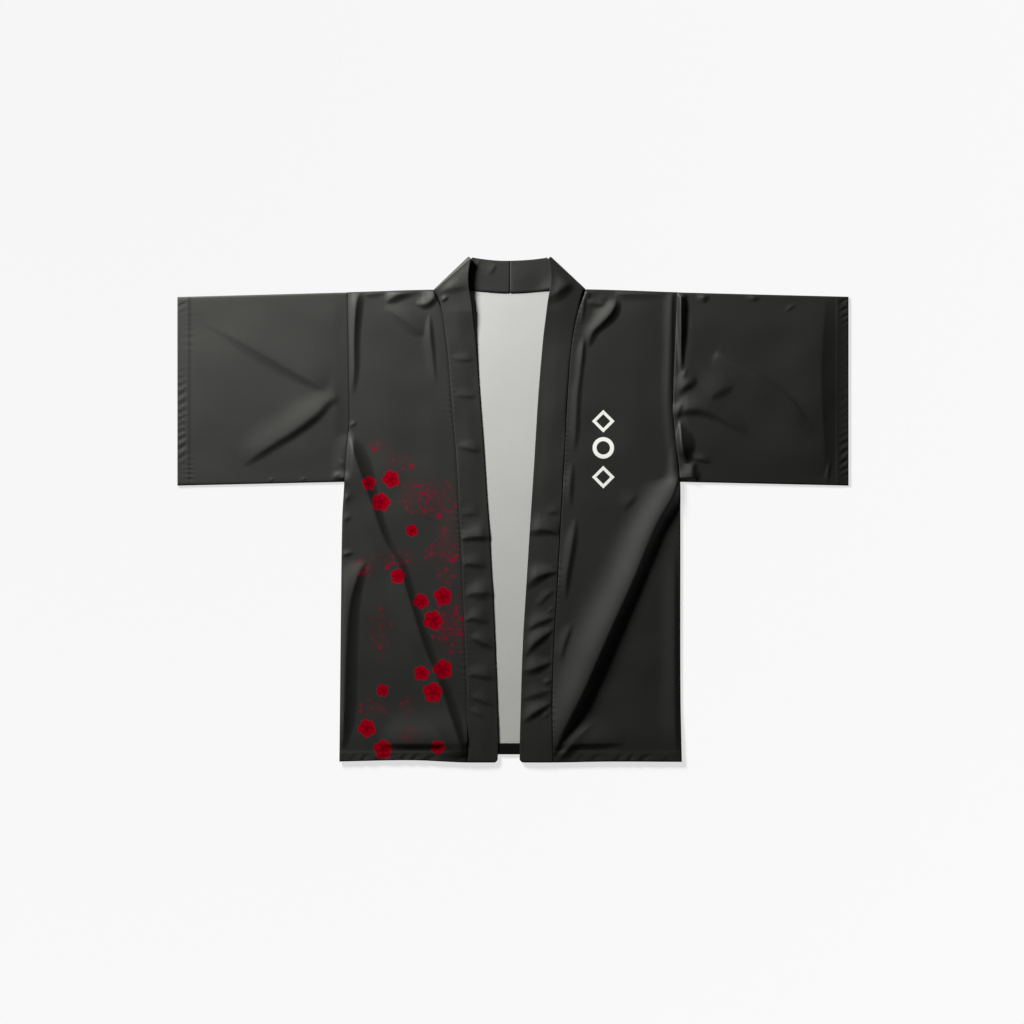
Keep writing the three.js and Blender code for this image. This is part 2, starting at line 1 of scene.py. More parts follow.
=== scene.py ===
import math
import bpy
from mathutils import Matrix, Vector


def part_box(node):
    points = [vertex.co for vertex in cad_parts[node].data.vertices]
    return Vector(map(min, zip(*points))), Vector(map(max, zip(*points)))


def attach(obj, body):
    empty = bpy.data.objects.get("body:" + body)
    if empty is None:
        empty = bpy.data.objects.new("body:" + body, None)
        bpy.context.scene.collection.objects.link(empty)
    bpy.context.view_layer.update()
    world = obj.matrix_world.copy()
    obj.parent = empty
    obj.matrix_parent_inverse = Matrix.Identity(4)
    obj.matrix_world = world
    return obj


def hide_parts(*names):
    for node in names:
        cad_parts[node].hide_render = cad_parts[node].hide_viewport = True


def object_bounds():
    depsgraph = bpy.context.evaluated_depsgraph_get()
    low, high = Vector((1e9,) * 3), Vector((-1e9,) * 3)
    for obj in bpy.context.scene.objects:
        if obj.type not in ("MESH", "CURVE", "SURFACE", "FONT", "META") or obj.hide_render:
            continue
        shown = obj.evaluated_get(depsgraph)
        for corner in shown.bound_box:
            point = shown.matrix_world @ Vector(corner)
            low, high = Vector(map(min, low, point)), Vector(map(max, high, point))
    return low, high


bl_info = {
    "name": "Short Kimono Jacket",
    "version": (1, 0, 0),
    "blender": (4, 5, 0),
    "location": "3D View > Sidebar > Jacket",
    "description": "Cloth, print and stitching for a short kimono jacket laid flat",
    "category": "Object",
}

from collections import namedtuple

import bmesh
import bpy
import numpy as np
from bpy.props import FloatProperty, FloatVectorProperty, PointerProperty
from mathutils import Euler, Matrix, Vector

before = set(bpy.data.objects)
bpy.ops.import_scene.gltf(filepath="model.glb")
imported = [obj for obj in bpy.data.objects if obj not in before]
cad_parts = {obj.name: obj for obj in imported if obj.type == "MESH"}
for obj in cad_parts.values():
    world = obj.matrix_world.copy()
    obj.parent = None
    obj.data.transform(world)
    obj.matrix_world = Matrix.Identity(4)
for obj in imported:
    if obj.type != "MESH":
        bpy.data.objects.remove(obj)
CAD_LOW, CAD_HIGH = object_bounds()

# Every table below is in millimetres. +X runs to the wearer's left and +Y to the neck.
MM = 0.001
TOP = (CAD_HIGH.y - CAD_LOW.y) / 2 / MM  # top of the collar, as far from the middle as the hem
HALF_SPAN = (CAD_HIGH.x - CAD_LOW.x) / 2 / MM  # from the middle to a cuff
CLOTH = (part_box("back")[1].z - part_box("back")[0].z) / MM
BAND = 2 * CLOTH
SEAM = 0.3  # gap between pieces that lie on each other or are sewn together
FRONT_REST = CLOTH + SEAM
HEM_REST = FRONT_REST + CLOTH + SEAM
HEM_WIDTH = 17.5
CUFF_WIDTH = 19
HEM_STEP = 0.5  # how far a stitched hem stands above the cloth beside it
HEM_SLOPE = 1.8  # width of the slope between them
BAND_WIDTH = 47
COLLAR_LENGTH = 990  # half of the collar, from its hem to the centre back
ARMPIT = 43.5
ARMHOLE_TOP = 342
CUFF_FOOT = 37.5
CENTRE_BACK = -4.6
FAN_START = 312  # from here up the band turns into its fold at the shoulder
SHOULDER_ROW = 343  # mesh row that becomes the shoulder edge
BACK_FOOT = -394  # mesh row that becomes the hem of the back
CLIMB_START = -305  # from here down the fronts climb onto the back's turned-up hem
CLIMB = 66  # over this length

# Side edges of the body: y, x
RIGHT_SIDE = (
    (-398, -273.2),
    (-146, -270.7),
    (-14, -268.8),
    (40, -265.6),
    (84, -263),
    (137, -258.2),
    (342, -260.3),
)
LEFT_SIDE = (
    (-398, 265.6),
    (-280, 263.6),
    (-8, 263.4),
    (43, 263.1),
    (96, 257.8),
    (160, 252.4),
    (196, 253.3),
    (342, 259.3),
)
# Upper and lower edges: x, y
SHOULDER = ((-528, 334.6), (-260, 342), (-124, 346), (113, 346.5), (259, 342), (528, 335))
BACK_TOP = (
    (-260, 341.6),
    (-150, 343.2),
    (-68, 343.3),
    (-48, 342.1),
    (-22, 340.1),
    (4, 339.7),
    (28, 341.2),
    (55, 343.2),
    (140, 343.2),
    (259, 341.6),
)
NECK_TOP = (
    (-70, 398),
    (-54, 395.2),
    (-28, 392.2),
    (-5, 391.7),
    (26, 393.2),
    (47, 395.7),
    (59, 398),
)
FRONT_HEM = ((-273, -396.4), (-160, -394.4), (-71, -398), (63, -398), (150, -396.6), (266, -397))
BACK_HEM = ((-273, -394.5), (-100, -386.5), (0, -385.3), (100, -386.5), (266, -394.5))
# Collar bands: y, x of the seam, x of the free edge, lift of the seam, lift of the free edge
RIGHT_BAND = (
    (-398, -71.3, -26.5, 0, 0),
    (-394.5, -71.3, -24.2, 0, 0),
    (-352, -71.6, -23.5, 0, 0),
    (-280, -72.9, -25.7, 0, 0.2),
    (-184, -76.8, -29.6, 0, 0.4),
    (-50, -82.3, -36.7, 0, 0.4),
    (95, -90.2, -46.1, 0, 0.2),
    (170, -96.5, -51.5, 0, 0.3),
    (232, -101.2, -56.2, 0, 0.9),
    (275, -106, -59.8, 0.4, 2.6),
    (312, -111.8, -64, 1, 7),
    (343, -124, -67, 1.5, 10),
)
LEFT_BAND = (
    (-398, 63.1, 13, 0, 0),
    (-394.5, 63.1, 10.4, 0, 0),
    (-298, 62, 12.4, 0, 0.2),
    (-203, 64.9, 15.7, 0, 0.4),
    (-107, 70.7, 21.6, 0, 0.4),
    (-31, 74.5, 26.3, 0, 0.4),
    (65, 80.1, 32.6, 0, 0.2),
    (180, 86, 39.7, 0, 0.3),
    (256, 91.6, 46, 0.1, 0.9),
    (283, 96, 48.8, 0.4, 2.2),
    (312, 102.6, 52.5, 0.9, 5),
    (343, 113.4, 56, 1.5, 9),
)
Turn = namedtuple("Turn", "seam_x seam_y peak_x peak_y seam_roll peak_roll")
RIGHT_TURN = Turn(-124.2, 346.8, -69.8, TOP, 1.6, 5.2)
LEFT_TURN = Turn(113.6, 347.4, 59.2, TOP, 1.6, 5.2)

# A fold's rows follow its crest: x, y, width of its shaded side, height. The shaded side is
# on the left of a walk along the rows, and the other side is `gentle` times as wide.
Fold = namedtuple("Fold", "gentle rows")
RIGHT_FRONT_FOLDS = (
    Fold(3.6, [(-258, 124, 6, 0), (-253, 100, 17, 10), (-241, 62, 21, 12), (-224, 14, 14, 8),
         (-201, -50, 11, 6), (-179, -87, 11, 6), (-164, -136, 12, 6.8), (-141, -211, 13, 7.8),
         (-115, -275, 13, 7.6), (-92, -342, 15, 10), (-81, -374, 13, 9), (-76, -390, 8, 1)]),
    Fold(4, [(-232, -82, 4, 0), (-245, -108, 12, 5.6), (-257, -155, 16, 7.6), (-263, -240, 19, 8.6),
         (-266, -320, 19, 8.4), (-268, -356, 13, 4.4), (-269, -376, 8, 0)]),
    Fold(2.6, [(-240, 343, 8, 0), (-246, 322, 11, 5.6), (-250, 271, 10, 5.6), (-250, 220, 9, 4),
         (-253, 180, 5, 0)]),
    Fold(2, [(-246, 137, 2, 0), (-252, 134, 4.5, 2), (-259, 130, 3, 0.3)]),
    Fold(2.2, [(-199, 343, 5, 0), (-219, 342, 9, 2.4), (-236, 337, 7, 0)]),
    Fold(2.2, [(-160, 340, 6, 1), (-177, 338, 10, 4.4), (-190, 332, 10, 3.8), (-199, 325, 5, 0)]),
    Fold(3.2, [(-122, 340, 5, 1), (-126, 330, 8, 4), (-138, 322, 8, 4), (-153, 323, 5, 0.5)]),
    Fold(3, [(-138, 272, 5, 0), (-154, 285, 13, 2.4), (-176, 302, 13, 2.4), (-203, 318, 6, 0)]),
    Fold(3, [(-131, 308, 3, 0), (-130, 280, 6, 2.6), (-127, 248, 6, 2.2), (-121, 195, 3, 0)]),
    Fold(3, [(-250, 28, 5, 0), (-259, 20, 10, 3.4), (-268, 13, 10, 3)]),
    Fold(3, [(-252, -12, 4, 0), (-261, -14, 6, 1.4), (-269, -17, 6, 1.2)]),
    Fold(3, [(-250, -68, 2, 0), (-260, -70, 4, 1.8), (-269, -72, 4, 1.4)]),
    Fold(7, [(-66, -367, 8, 3), (-110, -369, 9, 4.4), (-147, -369, 9, 4.8), (-180, -369, 9, 4.4),
         (-214, -370, 4, 0)]),
)
LEFT_FRONT_FOLDS = (
    Fold(3.7, [(252, 128, 4, 0), (257, 90, 5, 3.6), (260, 50, 8, 6.6), (252, 22, 15, 12),
         (240, 0, 16, 14.6), (228, -20, 16, 14.8), (211, -58, 17, 15), (188, -114, 18, 15.6),
         (162, -171, 19, 16.2), (137, -227, 20, 16.6), (112, -284, 20, 16.4), (93, -322, 18, 14.8),
         (80, -348, 15, 10.8), (68, -376, 9, 4), (62, -390, 4, 0)]),
    Fold(1.8, [(130, -334, 5, 0), (114, -348, 10, 3), (98, -364, 12, 4.4), (85, -379, 12, 4.8),
         (74, -392, 8, 1)]),
    Fold(4, [(252, 345, 4, 0.5), (251, 320, 5, 2.8), (250, 250, 5, 3.2), (249, 180, 5, 3), (253, 110, 5, 2),
         (260, 50, 4, 0)]),
    Fold(2.6, [(163, 330, 6, 0.5), (161, 321, 10, 5.6), (156, 311, 12, 7), (149, 302, 12, 6.8),
         (137, 290, 10, 5.4), (127, 280, 9, 4.4), (122, 268, 8, 3), (121, 256, 4, 0)]),
    Fold(2.6, [(112, 274, 3, 0), (110, 249, 5.5, 2.8), (106, 212, 5.5, 2), (102, 179, 6.5, 2.3),
         (99, 120, 6.5, 1.9), (96, 90, 4, 0)]),
    Fold(2.6, [(94, 76, 4, 0), (91, 40, 6, 2.4), (90, 3, 4, 0)]),
    Fold(2.6, [(100, -12, 3, 0), (95, -46, 7.5, 3), (91, -71, 8, 3.4), (85, -108, 7, 2.8),
         (83, -142, 3, 0)]),
    Fold(2.6, [(95, -176, 4, 0), (85, -201, 8, 2.4), (78, -226, 8, 2.4), (75, -252, 4, 0)]),
    Fold(3.4, [(150, 319, 4, 0), (138, 322, 7, 2.8), (126, 324, 7, 2.6), (116, 325, 5, 0)]),
    Fold(3, [(112, 347, 2, 0), (118, 339, 3, 2.4), (123, 331, 2, 0)]),
    Fold(2.4, [(114, 338, 2, 0), (112, 324, 4, 1.4), (110, 308, 4, 1.2), (107, 292, 2, 0)]),
    Fold(2.6, [(240, 336, 6, 0), (200, 339, 11, 2.2), (173, 339, 11, 2.3), (160, 339, 6, 0)]),
    Fold(3, [(197, 24, 8, 0), (185, 13, 9, 1.6), (173, -2, 8, 0)]),
    Fold(3, [(254, -60, 8, 0), (255, -140, 10, 3), (255, -250, 10, 3.6), (256, -340, 10, 3),
         (259, -392, 6, 0)]),
    Fold(6, [(176, -368, 4, 0), (140, -368, 9, 3.6), (100, -369, 10, 4.6), (72, -372, 8, 3)]),
)
RIGHT_SLEEVE_FOLDS = (
    Fold(6, [(-295, 187, 6, 0), (-317, 201, 11, 2.4), (-350, 219, 14, 2.8), (-390, 242, 15, 2.6),
         (-432, 266, 13, 1.8), (-462, 282, 9, 0.8), (-490, 296, 5, 0)]),
    Fold(5.4, [(-272, 172, 3, 0), (-283, 171, 5.5, 2), (-293, 165, 7, 3.2), (-305, 152, 9, 4.6),
         (-321, 139, 10, 5.6), (-345, 122, 10, 5.2), (-371, 106, 10, 4.4), (-397, 89, 9, 3.2),
         (-426, 69, 7, 0)]),
    Fold(2, [(-376, 50, 2, 0), (-380, 46, 3.4, 0.9), (-383, 39, 3, 0.4)]),
    Fold(2, [(-325, 50, 2, 0), (-330, 46, 4, 1.1), (-334, 40, 3, 0.5)]),
    Fold(2, [(-269, 57, 3, 0), (-276, 54, 4.5, 1), (-282, 49, 3, 0)]),
    Fold(2, [(-275, 81, 2, 0), (-269, 73, 4, 1), (-264, 65, 3, 0)]),
)
LEFT_SLEEVE_FOLDS = (
    Fold(0.8, [(264, 344, 11, 10), (264, 317, 11, 13), (264, 290, 11, 12), (264, 262, 9, 9),
         (264, 240, 7, 6), (265, 220, 5, 1)]),
    Fold(3, [(274, 221, 3, 0), (270, 211, 6, 3), (267, 203, 3, 0)]),
    Fold(4, [(290, 204, 4, 0), (281, 199, 8, 3.8), (271, 193, 9, 5), (263, 184, 6, 2), (261, 179, 2, 0)]),
    Fold(3.4, [(269, 171, 3, 0), (264, 160, 7, 4), (260, 150, 6.5, 3.8), (259, 143, 3, 0)]),
    Fold(4.4, [(368, 118, 3, 0), (344, 133, 7, 2.6), (321, 146, 8.5, 3.8), (299, 155, 10, 5.2),
         (280, 156, 9, 5.2), (268, 153, 7, 3.4), (261, 147, 4, 0)]),
    Fold(4.4, [(352, 196, 5, 0), (333, 189, 11, 2.8), (317, 180, 11, 2.8), (306, 169, 5, 0)]),
    Fold(0.6, [(262, 140, 4, 0), (263, 130, 10, 6), (264, 117, 18, 11), (265, 105, 22, 13),
         (267, 92, 20, 12), (272, 78, 12, 4)]),
    Fold(2.4, [(288, 74, 4, 0), (283, 65, 10, 4.6), (283, 53, 13, 6.4), (286, 42, 10, 4)]),
    Fold(3, [(312, 73, 2, 0), (298, 78, 5, 2.6), (284, 81, 5, 0.6)]),
    Fold(3, [(447, 323, 2, 0), (437, 317, 3, 1.2), (427, 310, 2, 0)]),
    Fold(3, [(500, 86, 2, 0), (497, 63, 3, 1.9), (495, 43, 3, 0.3)]),
    Fold(5, [(493, 334, 10, 0), (489, 290, 20, 3), (485, 220, 26, 4.6), (487, 150, 24, 4.4),
         (490, 100, 20, 3.4), (491, 52, 12, 0)]),
    Fold(2, [(303, 344, 6, 0), (301, 335, 9, 3.4), (302, 324, 5, 0)]),
    Fold(2, [(384, 344, 6, 0), (380, 336, 11, 2.7), (380, 326, 5, 0)]),
    Fold(4, [(318, 247, 4, 0), (327, 241, 8, 2.4), (355, 224, 12, 4), (386, 206, 15, 5),
         (421, 182, 16, 5.4), (444, 162, 16, 5), (462, 138, 14, 3.4), (474, 114, 8, 0)]),
)
RIGHT_BAND_FOLDS = (
    Fold(3.6, [(-58, 239, 3, 0), (-70, 236, 5, 1), (-84, 236, 5, 1), (-97, 239, 3, 0)]),
    Fold(3.6, [(-53, 179, 3, 0), (-66, 178, 5, 1.1), (-80, 179, 5, 1), (-93, 181, 3, 0)]),
    Fold(3.6, [(-48, 92, 3, 0), (-60, 94, 6, 1.6), (-74, 97, 6, 1.6), (-88, 101, 3, 0)]),
    Fold(3.6, [(-54, -8, 3, 0), (-63, -6, 6, 1), (-72, -7, 6, 1), (-82, -9, 3, 0)]),
    Fold(3.9, [(-34, -43, 8, 3.4), (-45, -43, 9, 4.2), (-55, -43, 8.4, 3.9), (-66, -44, 7, 3),
         (-76, -46, 5.6, 2.2), (-84, -47, 4, 0.5)]),
    Fold(3.6, [(-38, -92, 3, 0), (-50, -88, 6.5, 1.6), (-61, -86, 7.7, 2.3), (-72, -86, 6, 1.7),
         (-81, -91, 3, 0)]),
    Fold(2.6, [(-30, -132, 10, 2.4), (-44, -131, 12.5, 3.6), (-55, -132, 12.5, 3.5), (-65, -133, 8.5, 2.2),
         (-75, -138, 3, 0)]),
    Fold(3.2, [(-37, -179, 3, 0), (-51, -174, 7.7, 2.1), (-60, -171, 7.7, 2.5), (-69, -173, 4.5, 1.4),
         (-78, -177, 2, 0)]),
    Fold(3.2, [(-27, -221, 3, 0.4), (-36, -215, 7, 2.2), (-46, -210, 8, 2.8), (-57, -205, 7, 2.1),
         (-68, -201, 3, 0)]),
    Fold(3.9, [(-28, -266, 4, 0.4), (-42, -263, 7, 1.9), (-53, -261, 7, 1.9), (-63, -260, 5.5, 1.4),
         (-72, -262, 3, 0)]),
    Fold(3.6, [(-30, -309, 3, 0), (-44, -303, 6, 1.3), (-56, -298, 6, 1.3), (-67, -294, 3, 0)]),
    Fold(3.6, [(-45, -330, 2, 0), (-58, -321, 5, 1.1), (-70, -315, 3, 0)]),
    Fold(3, [(-68, 350, 6, 1), (-84, 349, 8, 1.4), (-98, 347, 9, 1.7), (-113, 343, 7, 0.4)]),
    Fold(2.6, [(-102, 335, 3, 0), (-107, 331, 4, 2.2), (-112, 327, 3, 0)]),
    Fold(3.2, [(-27, 388, 4, 0), (-31, 379, 6, 1.2), (-38, 368, 4, 0)]),
    Fold(3.2, [(-51, 395, 3, 0), (-54, 389, 4, 1.2), (-58, 382, 3, 0)]),
)
LEFT_BAND_FOLDS = (
    Fold(3.6, [(75, -5, 3, 0), (64, -4, 5.6, 1.3), (50, -8, 4, 0)]),
    Fold(3.9, [(75, -40, 4, 0.4), (61, -34, 7.7, 3.6), (47, -32, 10, 4.4), (35, -33, 10, 4.4),
         (24, -35, 8.4, 3)]),
    Fold(3.2, [(71, -100, 3, 0.2), (57, -100, 6.5, 3.2), (44, -104, 10, 4.6), (32, -110, 12, 5),
         (24, -119, 8, 2.6), (20, -127, 4, 0)]),
    Fold(3.9, [(67, -126, 2, 0), (56, -134, 4, 1.4), (48, -142, 4.2, 1.4), (37, -153, 3, 0)]),
    Fold(3.9, [(66, -154, 2, 0), (60, -159, 2.6, 1), (54, -165, 2, 0)]),
    Fold(3.6, [(66, -170, 3, 0.2), (55, -173, 5.6, 2.6), (42, -178, 7.7, 3), (31, -184, 7, 2.4),
         (20, -192, 4, 0)]),
    Fold(3.2, [(64, -185, 2, 0), (56, -194, 5, 2.3), (46, -201, 8.4, 4), (32, -213, 8.4, 3.8),
         (23, -225, 5.6, 1.9), (19, -234, 3, 0)]),
    Fold(3.2, [(63, -239, 3, 0), (51, -244, 6, 2.7), (38, -249, 10, 4.4), (29, -252, 9.5, 3.6),
         (15, -255, 7, 1.4)]),
    Fold(3.2, [(62, -269, 2, 0), (55, -272, 4, 1.7), (48, -277, 2, 0)]),
    Fold(3.2, [(62, -284, 2, 0), (49, -288, 5.4, 1.3), (35, -292, 8, 2), (16, -297, 6, 0.8)]),
    Fold(3.2, [(62, -302, 3, 0), (51, -310, 5.4, 2.4), (39, -317, 8, 4), (27, -325, 7.5, 3.3),
         (15, -335, 4, 0.4)]),
    Fold(3.6, [(60, -319, 2, 0), (53, -324, 3, 1), (46, -329, 2, 0)]),
    Fold(2.9, [(100, 362, 8, 0.6), (85, 352, 12.8, 4.6), (72, 342, 13.7, 5), (59, 335, 12, 4.6),
         (48, 326, 8, 2)]),
)

# Blossoms on the wearer's right front: x, y, width, turn in degrees, and whether it is open
BLOSSOMS = (
    (-226.7, 41.7, 25, 12, True),
    (-192.1, 48, 31, 40, True),
    (-207.8, 11.8, 33, 75, True),
    (-159, -32.3, 26, 0, False),
    (-181.1, -104.7, 27, 5, True),
    (-144.9, -144.1, 28, 50, True),
    (-110.2, -136.2, 33, 20, True),
    (-126, -174, 35, 62, True),
    (-110.2, -251.1, 35, 33, True),
    (-144.1, -257.4, 28, 80, True),
    (-126, -287.3, 36, 12, True),
    (-204.7, -284.2, 27, -30, False),
    (-229.9, -344, 32, 45, True),
    (-204.7, -377.1, 34, 18, True),
    (-118.1, -373.9, 26, -20, True),
)
# Clouds of dots round the blossoms: x, y, half width, half height, how dense
SPECKLES = (
    (-214, 100, 14, 12, 0.5),
    (-187, 78, 16, 14, 0.5),
    (-167, 68, 13, 12, 0.5),
    (-165, 28, 14, 16, 0.6),
    (-130, 18, 32, 24, 0.9),
    (-104, -13, 14, 12, 0.5),
    (-106, -44, 14, 16, 0.6),
    (-107, -68, 28, 16, 0.8),
    (-233, -89, 14, 14, 0.5),
    (-194, -80, 16, 12, 0.5),
    (-168, -78, 14, 12, 0.5),
    (-106, -106, 14, 14, 0.6),
    (-209, -190, 14, 40, 0.5),
    (-96, -182, 24, 40, 0.9),
    (-167, -309, 14, 14, 0.5),
    (-165, -355, 16, 14, 0.5),
    (-217, -312, 20, 12, 0.5),
)
# Plain marks on the wearer's left chest: x, y, half width, and whether it is a ring
MARKS = ((142, 139, 19, False), (142, 97, 18, True), (142, 51, 19, False))


def smooth(t):
    t = np.clip(t, 0, 1)
    return t * t * (3 - 2 * t)


def mix(a, b, t):
    return a + (b - a) * t


def read(table, at, column=1):
    """Value of a column of a table at places along its first column, on a smooth curve."""
    rows = np.array(table, float)
    along, value = rows[:, 0], rows[:, column]
    slope = np.empty(len(rows))
    slope[1:-1] = (value[2:] - value[:-2]) / (along[2:] - along[:-2])
    slope[0] = (value[1] - value[0]) / (along[1] - along[0])
    slope[-1] = (value[-1] - value[-2]) / (along[-1] - along[-2])
    at = np.clip(at, along[0], along[-1])
    i = np.clip(np.searchsorted(along, at, side="right") - 1, 0, len(rows) - 2)
    width = along[i + 1] - along[i]
    t = (at - along[i]) / width
    rise = (3 - 2 * t) * t * t
    bend = slope[i] * t * (1 - t) ** 2 - slope[i + 1] * t * t * (1 - t)
    return mix(value[i], value[i + 1], rise) + width * bend


def route(rows, steps=6):
    """A smooth line through a fold's rows."""
    p = np.array(rows, float)
    p = np.vstack([2 * p[0] - p[1], p, 2 * p[-1] - p[-2]])
    line = []
    for a, b, c, d in zip(p, p[1:], p[2:], p[3:]):
        for t in np.arange(steps) / steps:
            line.append(b + 0.5 * t * (c - a + t * (2 * a - 5 * b + 4 * c - d + t * (3 * (b - c) + d - a))))
    return np.array(line + [p[-2]])


def fold_height(fold, x, y):
    """How far one fold lifts the cloth at each place."""
    lift = np.zeros(len(x))
    line = route(fold.rows)
    reach = line[:, 2].max() * max(1, fold.gentle)
    low, high = line[:, :2].min(0) - reach, line[:, :2].max(0) + reach
    near = (x > low[0]) & (x < high[0]) & (y > low[1]) & (y < high[1])
    px, py = x[near], y[near]
    best = np.full(len(px), np.inf)
    side, width, top = np.zeros((3, len(px)))
    for a, b in zip(line[:-1], line[1:]):
        d = b - a
        length = math.hypot(d[0], d[1])
        t = np.clip(((px - a[0]) * d[0] + (py - a[1]) * d[1]) / length**2, 0, 1)
        away_x, away_y = px - a[0] - t * d[0], py - a[1] - t * d[1]
        distance = np.hypot(away_x, away_y)
        closer = distance < best
        best = np.where(closer, distance, best)
        side = np.where(closer, d[0] * away_y - d[1] * away_x, side)
        width = np.where(closer, a[2] + t * d[2], width)
        top = np.where(closer, a[3] + t * d[3], top)
    shaded = np.clip(1 - best / width, 0, 1)
    far = np.clip(best / (width * fold.gentle), 0, 1)
    lit = (1 - far) ** 3 * (1 + 3 * far)
    lift[near] = np.maximum(top, 0) * np.where(side > 0, shaded * mix(0.5, 1, shaded), lit)
    return lift


PILE = 0.3  # how much of a lower fold counts where two folds meet


def relief(folds, x, y):
    heights = np.array([fold_height(fold, x, y) for fold in folds])
    highest = heights.max(0)
    return highest + PILE * (heights.sum(0) - highest)


WAVES = 10  # how many waves the unevenness adds up


def undulation(x, y, seed, shortest=70, longest=240):
    """Soft unevenness of cloth that was laid by hand, about one high."""
    random = np.random.default_rng(seed)
    total = np.zeros(len(x))
    for _ in range(WAVES):
        length = shortest * (longest / shortest) ** random.random()
        angle, first, second = random.uniform(0, 2 * math.pi, 3)
        along = x * math.cos(angle) + y * math.sin(angle)
        across = y * math.cos(angle) - x * math.sin(angle)
        swing = 1.2 * np.sin(2 * math.pi * across / (2.4 * length) + second)
        total += length / longest * np.sin(2 * math.pi * along / length + first + swing)
    return total / math.sqrt(WAVES)


def puckers(distance, along, seed, reach=5, pitch=8.5):
    """Ripples that a seam draws up beside itself, about one high at the seam."""
    uneven = 2.1 * np.sin(along / 19 + seed) + 1.1 * np.sin(along / 7.3 + 2 * seed)
    strength = np.clip(0.45 + 0.75 * np.sin(along / 33 + 3 * seed), 0, 1.2)
    return np.exp(-distance / reach) * strength * np.sin(2 * math.pi * along / pitch + uneven)


def hem_ripples(inside, x, y, along, seed, pitch):
    """Slanted ripples across a stitched hem, from its edge to its seam, about one high."""
    window = smooth((inside - 0.15) / 0.35) * smooth((1.05 - inside) / 0.2)
    strength = np.clip(0.35 + 0.8 * np.sin(along / 41 + 2 * seed) + 0.3 * np.sin(along / 17 + seed), 0, 1)
    phase = (y - 0.5 * x) / pitch * 2 * math.pi + 1.6 * np.sin(along / 13 + seed)
    return window * strength * (np.sin(phase) + 0.35 * np.sin(2 * phase + 0.8))


def rest_on_back(y):
    return mix(FRONT_REST, HEM_REST, smooth((CLIMB_START - y) / CLIMB))


def hem_step(width, from_edge):
    return HEM_STEP * smooth((width + HEM_SLOPE / 2 - from_edge) / HEM_SLOPE)


def sizes():
    return bpy.context.scene.jacket_sizes


def colours():
    return bpy.context.scene.jacket_colours


Front = namedtuple("Front", "side band folds seed")
RIGHT_FRONT = Front(RIGHT_SIDE, RIGHT_BAND, RIGHT_FRONT_FOLDS, 3)
LEFT_FRONT = Front(LEFT_SIDE, LEFT_BAND, LEFT_FRONT_FOLDS, 8)


def outward(front):
    return math.copysign(1, front.side[0][1])


def band_seam(front, y):
    return read(front.band, y) + outward(front) * SEAM


LOFT = 0.9  # how far the fronts stand off the back in their middle
WELT = 1.1  # how far a front rises to meet the doubled band
WELT_REACH = 26  # how far from the band seam that rise has gone
WELT_EDGE = 0.4  # width of the drop into the band seam
ARMHOLE_HOLD = 0.6  # how much the armhole seam flattens the folds beside it
ARMHOLE_REACH = 12  # over this width
UNDERARM = 20  # height over which the armhole seam gives way to the side seam
SIDE_ROUND = 7  # how far from the side seam the folds die out
SHOULDER_ROUND = 5  # and how far from the shoulder
SIDE_DIP = 0.35  # depth of the groove at the side seam
BAND_DIP = 0.25  # and at the band seam
HEM_PITCH = 13  # from one ripple of the hem to the next


def front_height(front, x, y):
    """Height of a front panel's upper side."""
    size = sizes()
    from_side, from_seam = np.abs(x - read(front.side, y)), outward(front) * (x - band_seam(front, y))
    from_hem, from_top = y + TOP, SHOULDER_ROW - y
    loft = LOFT * smooth(from_side / 70) * smooth(from_hem / 60) * smooth(from_top / 40)
    welt = WELT * smooth(from_hem / 14) + read(front.band, y, 3)
    beyond_band = smooth(1 + from_seam / WELT_EDGE)
    rise = mix(welt, loft, smooth(from_seam / WELT_REACH)) * beyond_band
    still = smooth(np.minimum(from_side, from_hem) / 50) * smooth(from_seam / 40)
    waves = size.unevenness / MM * undulation(x, y, front.seed) * still
    ripples = puckers(np.abs(from_seam), y, front.seed)
    ripples = ripples + 2 * hem_ripples(1 - from_hem / HEM_WIDTH, x, 0.4 * y, x, front.seed, HEM_PITCH)
    ripples = size.pucker_depth / MM * (ripples + 0.6)
    dip = SIDE_DIP * np.exp(-from_side / 1.2) + BAND_DIP * np.exp(-np.abs(from_seam) / 0.9)
    held = 1 - ARMHOLE_HOLD * smooth((y - ARMPIT) / UNDERARM) * (1 - smooth(from_side / ARMHOLE_REACH))
    sewn = 1 - smooth((ARMPIT - y) / UNDERARM) * (1 - smooth(from_side / SIDE_ROUND))
    folds = size.crease_strength * relief(front.folds, x, y) * beyond_band * held * sewn
    closed = smooth((read(SHOULDER, x) - y) / SHOULDER_ROUND)
    lift = (rise + folds) * closed + hem_step(HEM_WIDTH, from_hem)
    return rest_on_back(y) + CLOTH + lift + waves + ripples - dip


def grid_piece(name, columns, rows, place, closed=False):
    """A grid of cloth. place(u, v) gives its points in millimetres, for u and v from 0 to 1."""
    bm = bmesh.new()
    bmesh.ops.create_grid(bm, x_segments=columns, y_segments=rows, size=0.5)
    mesh = bpy.data.meshes.new(name)
    bm.to_mesh(mesh)
    flat = np.empty(len(mesh.vertices) * 3)
    mesh.vertices.foreach_get("co", flat)
    uv = flat.reshape(-1, 3) + 0.5
    points = np.array(place(uv[:, 0], uv[:, 1])).T * MM
    mesh.vertices.foreach_set("co", points.astype(np.float32).ravel())
    bm.clear()
    bm.from_mesh(mesh)
    if closed:
        bmesh.ops.remove_doubles(bm, verts=bm.verts, dist=1e-6)
        bmesh.ops.recalc_face_normals(bm, faces=bm.faces)
    bm.to_mesh(mesh)
    bm.free()
    mesh.shade_smooth()
    piece = bpy.data.objects.new(name, mesh)
    bpy.context.scene.collection.objects.link(piece)
    return piece


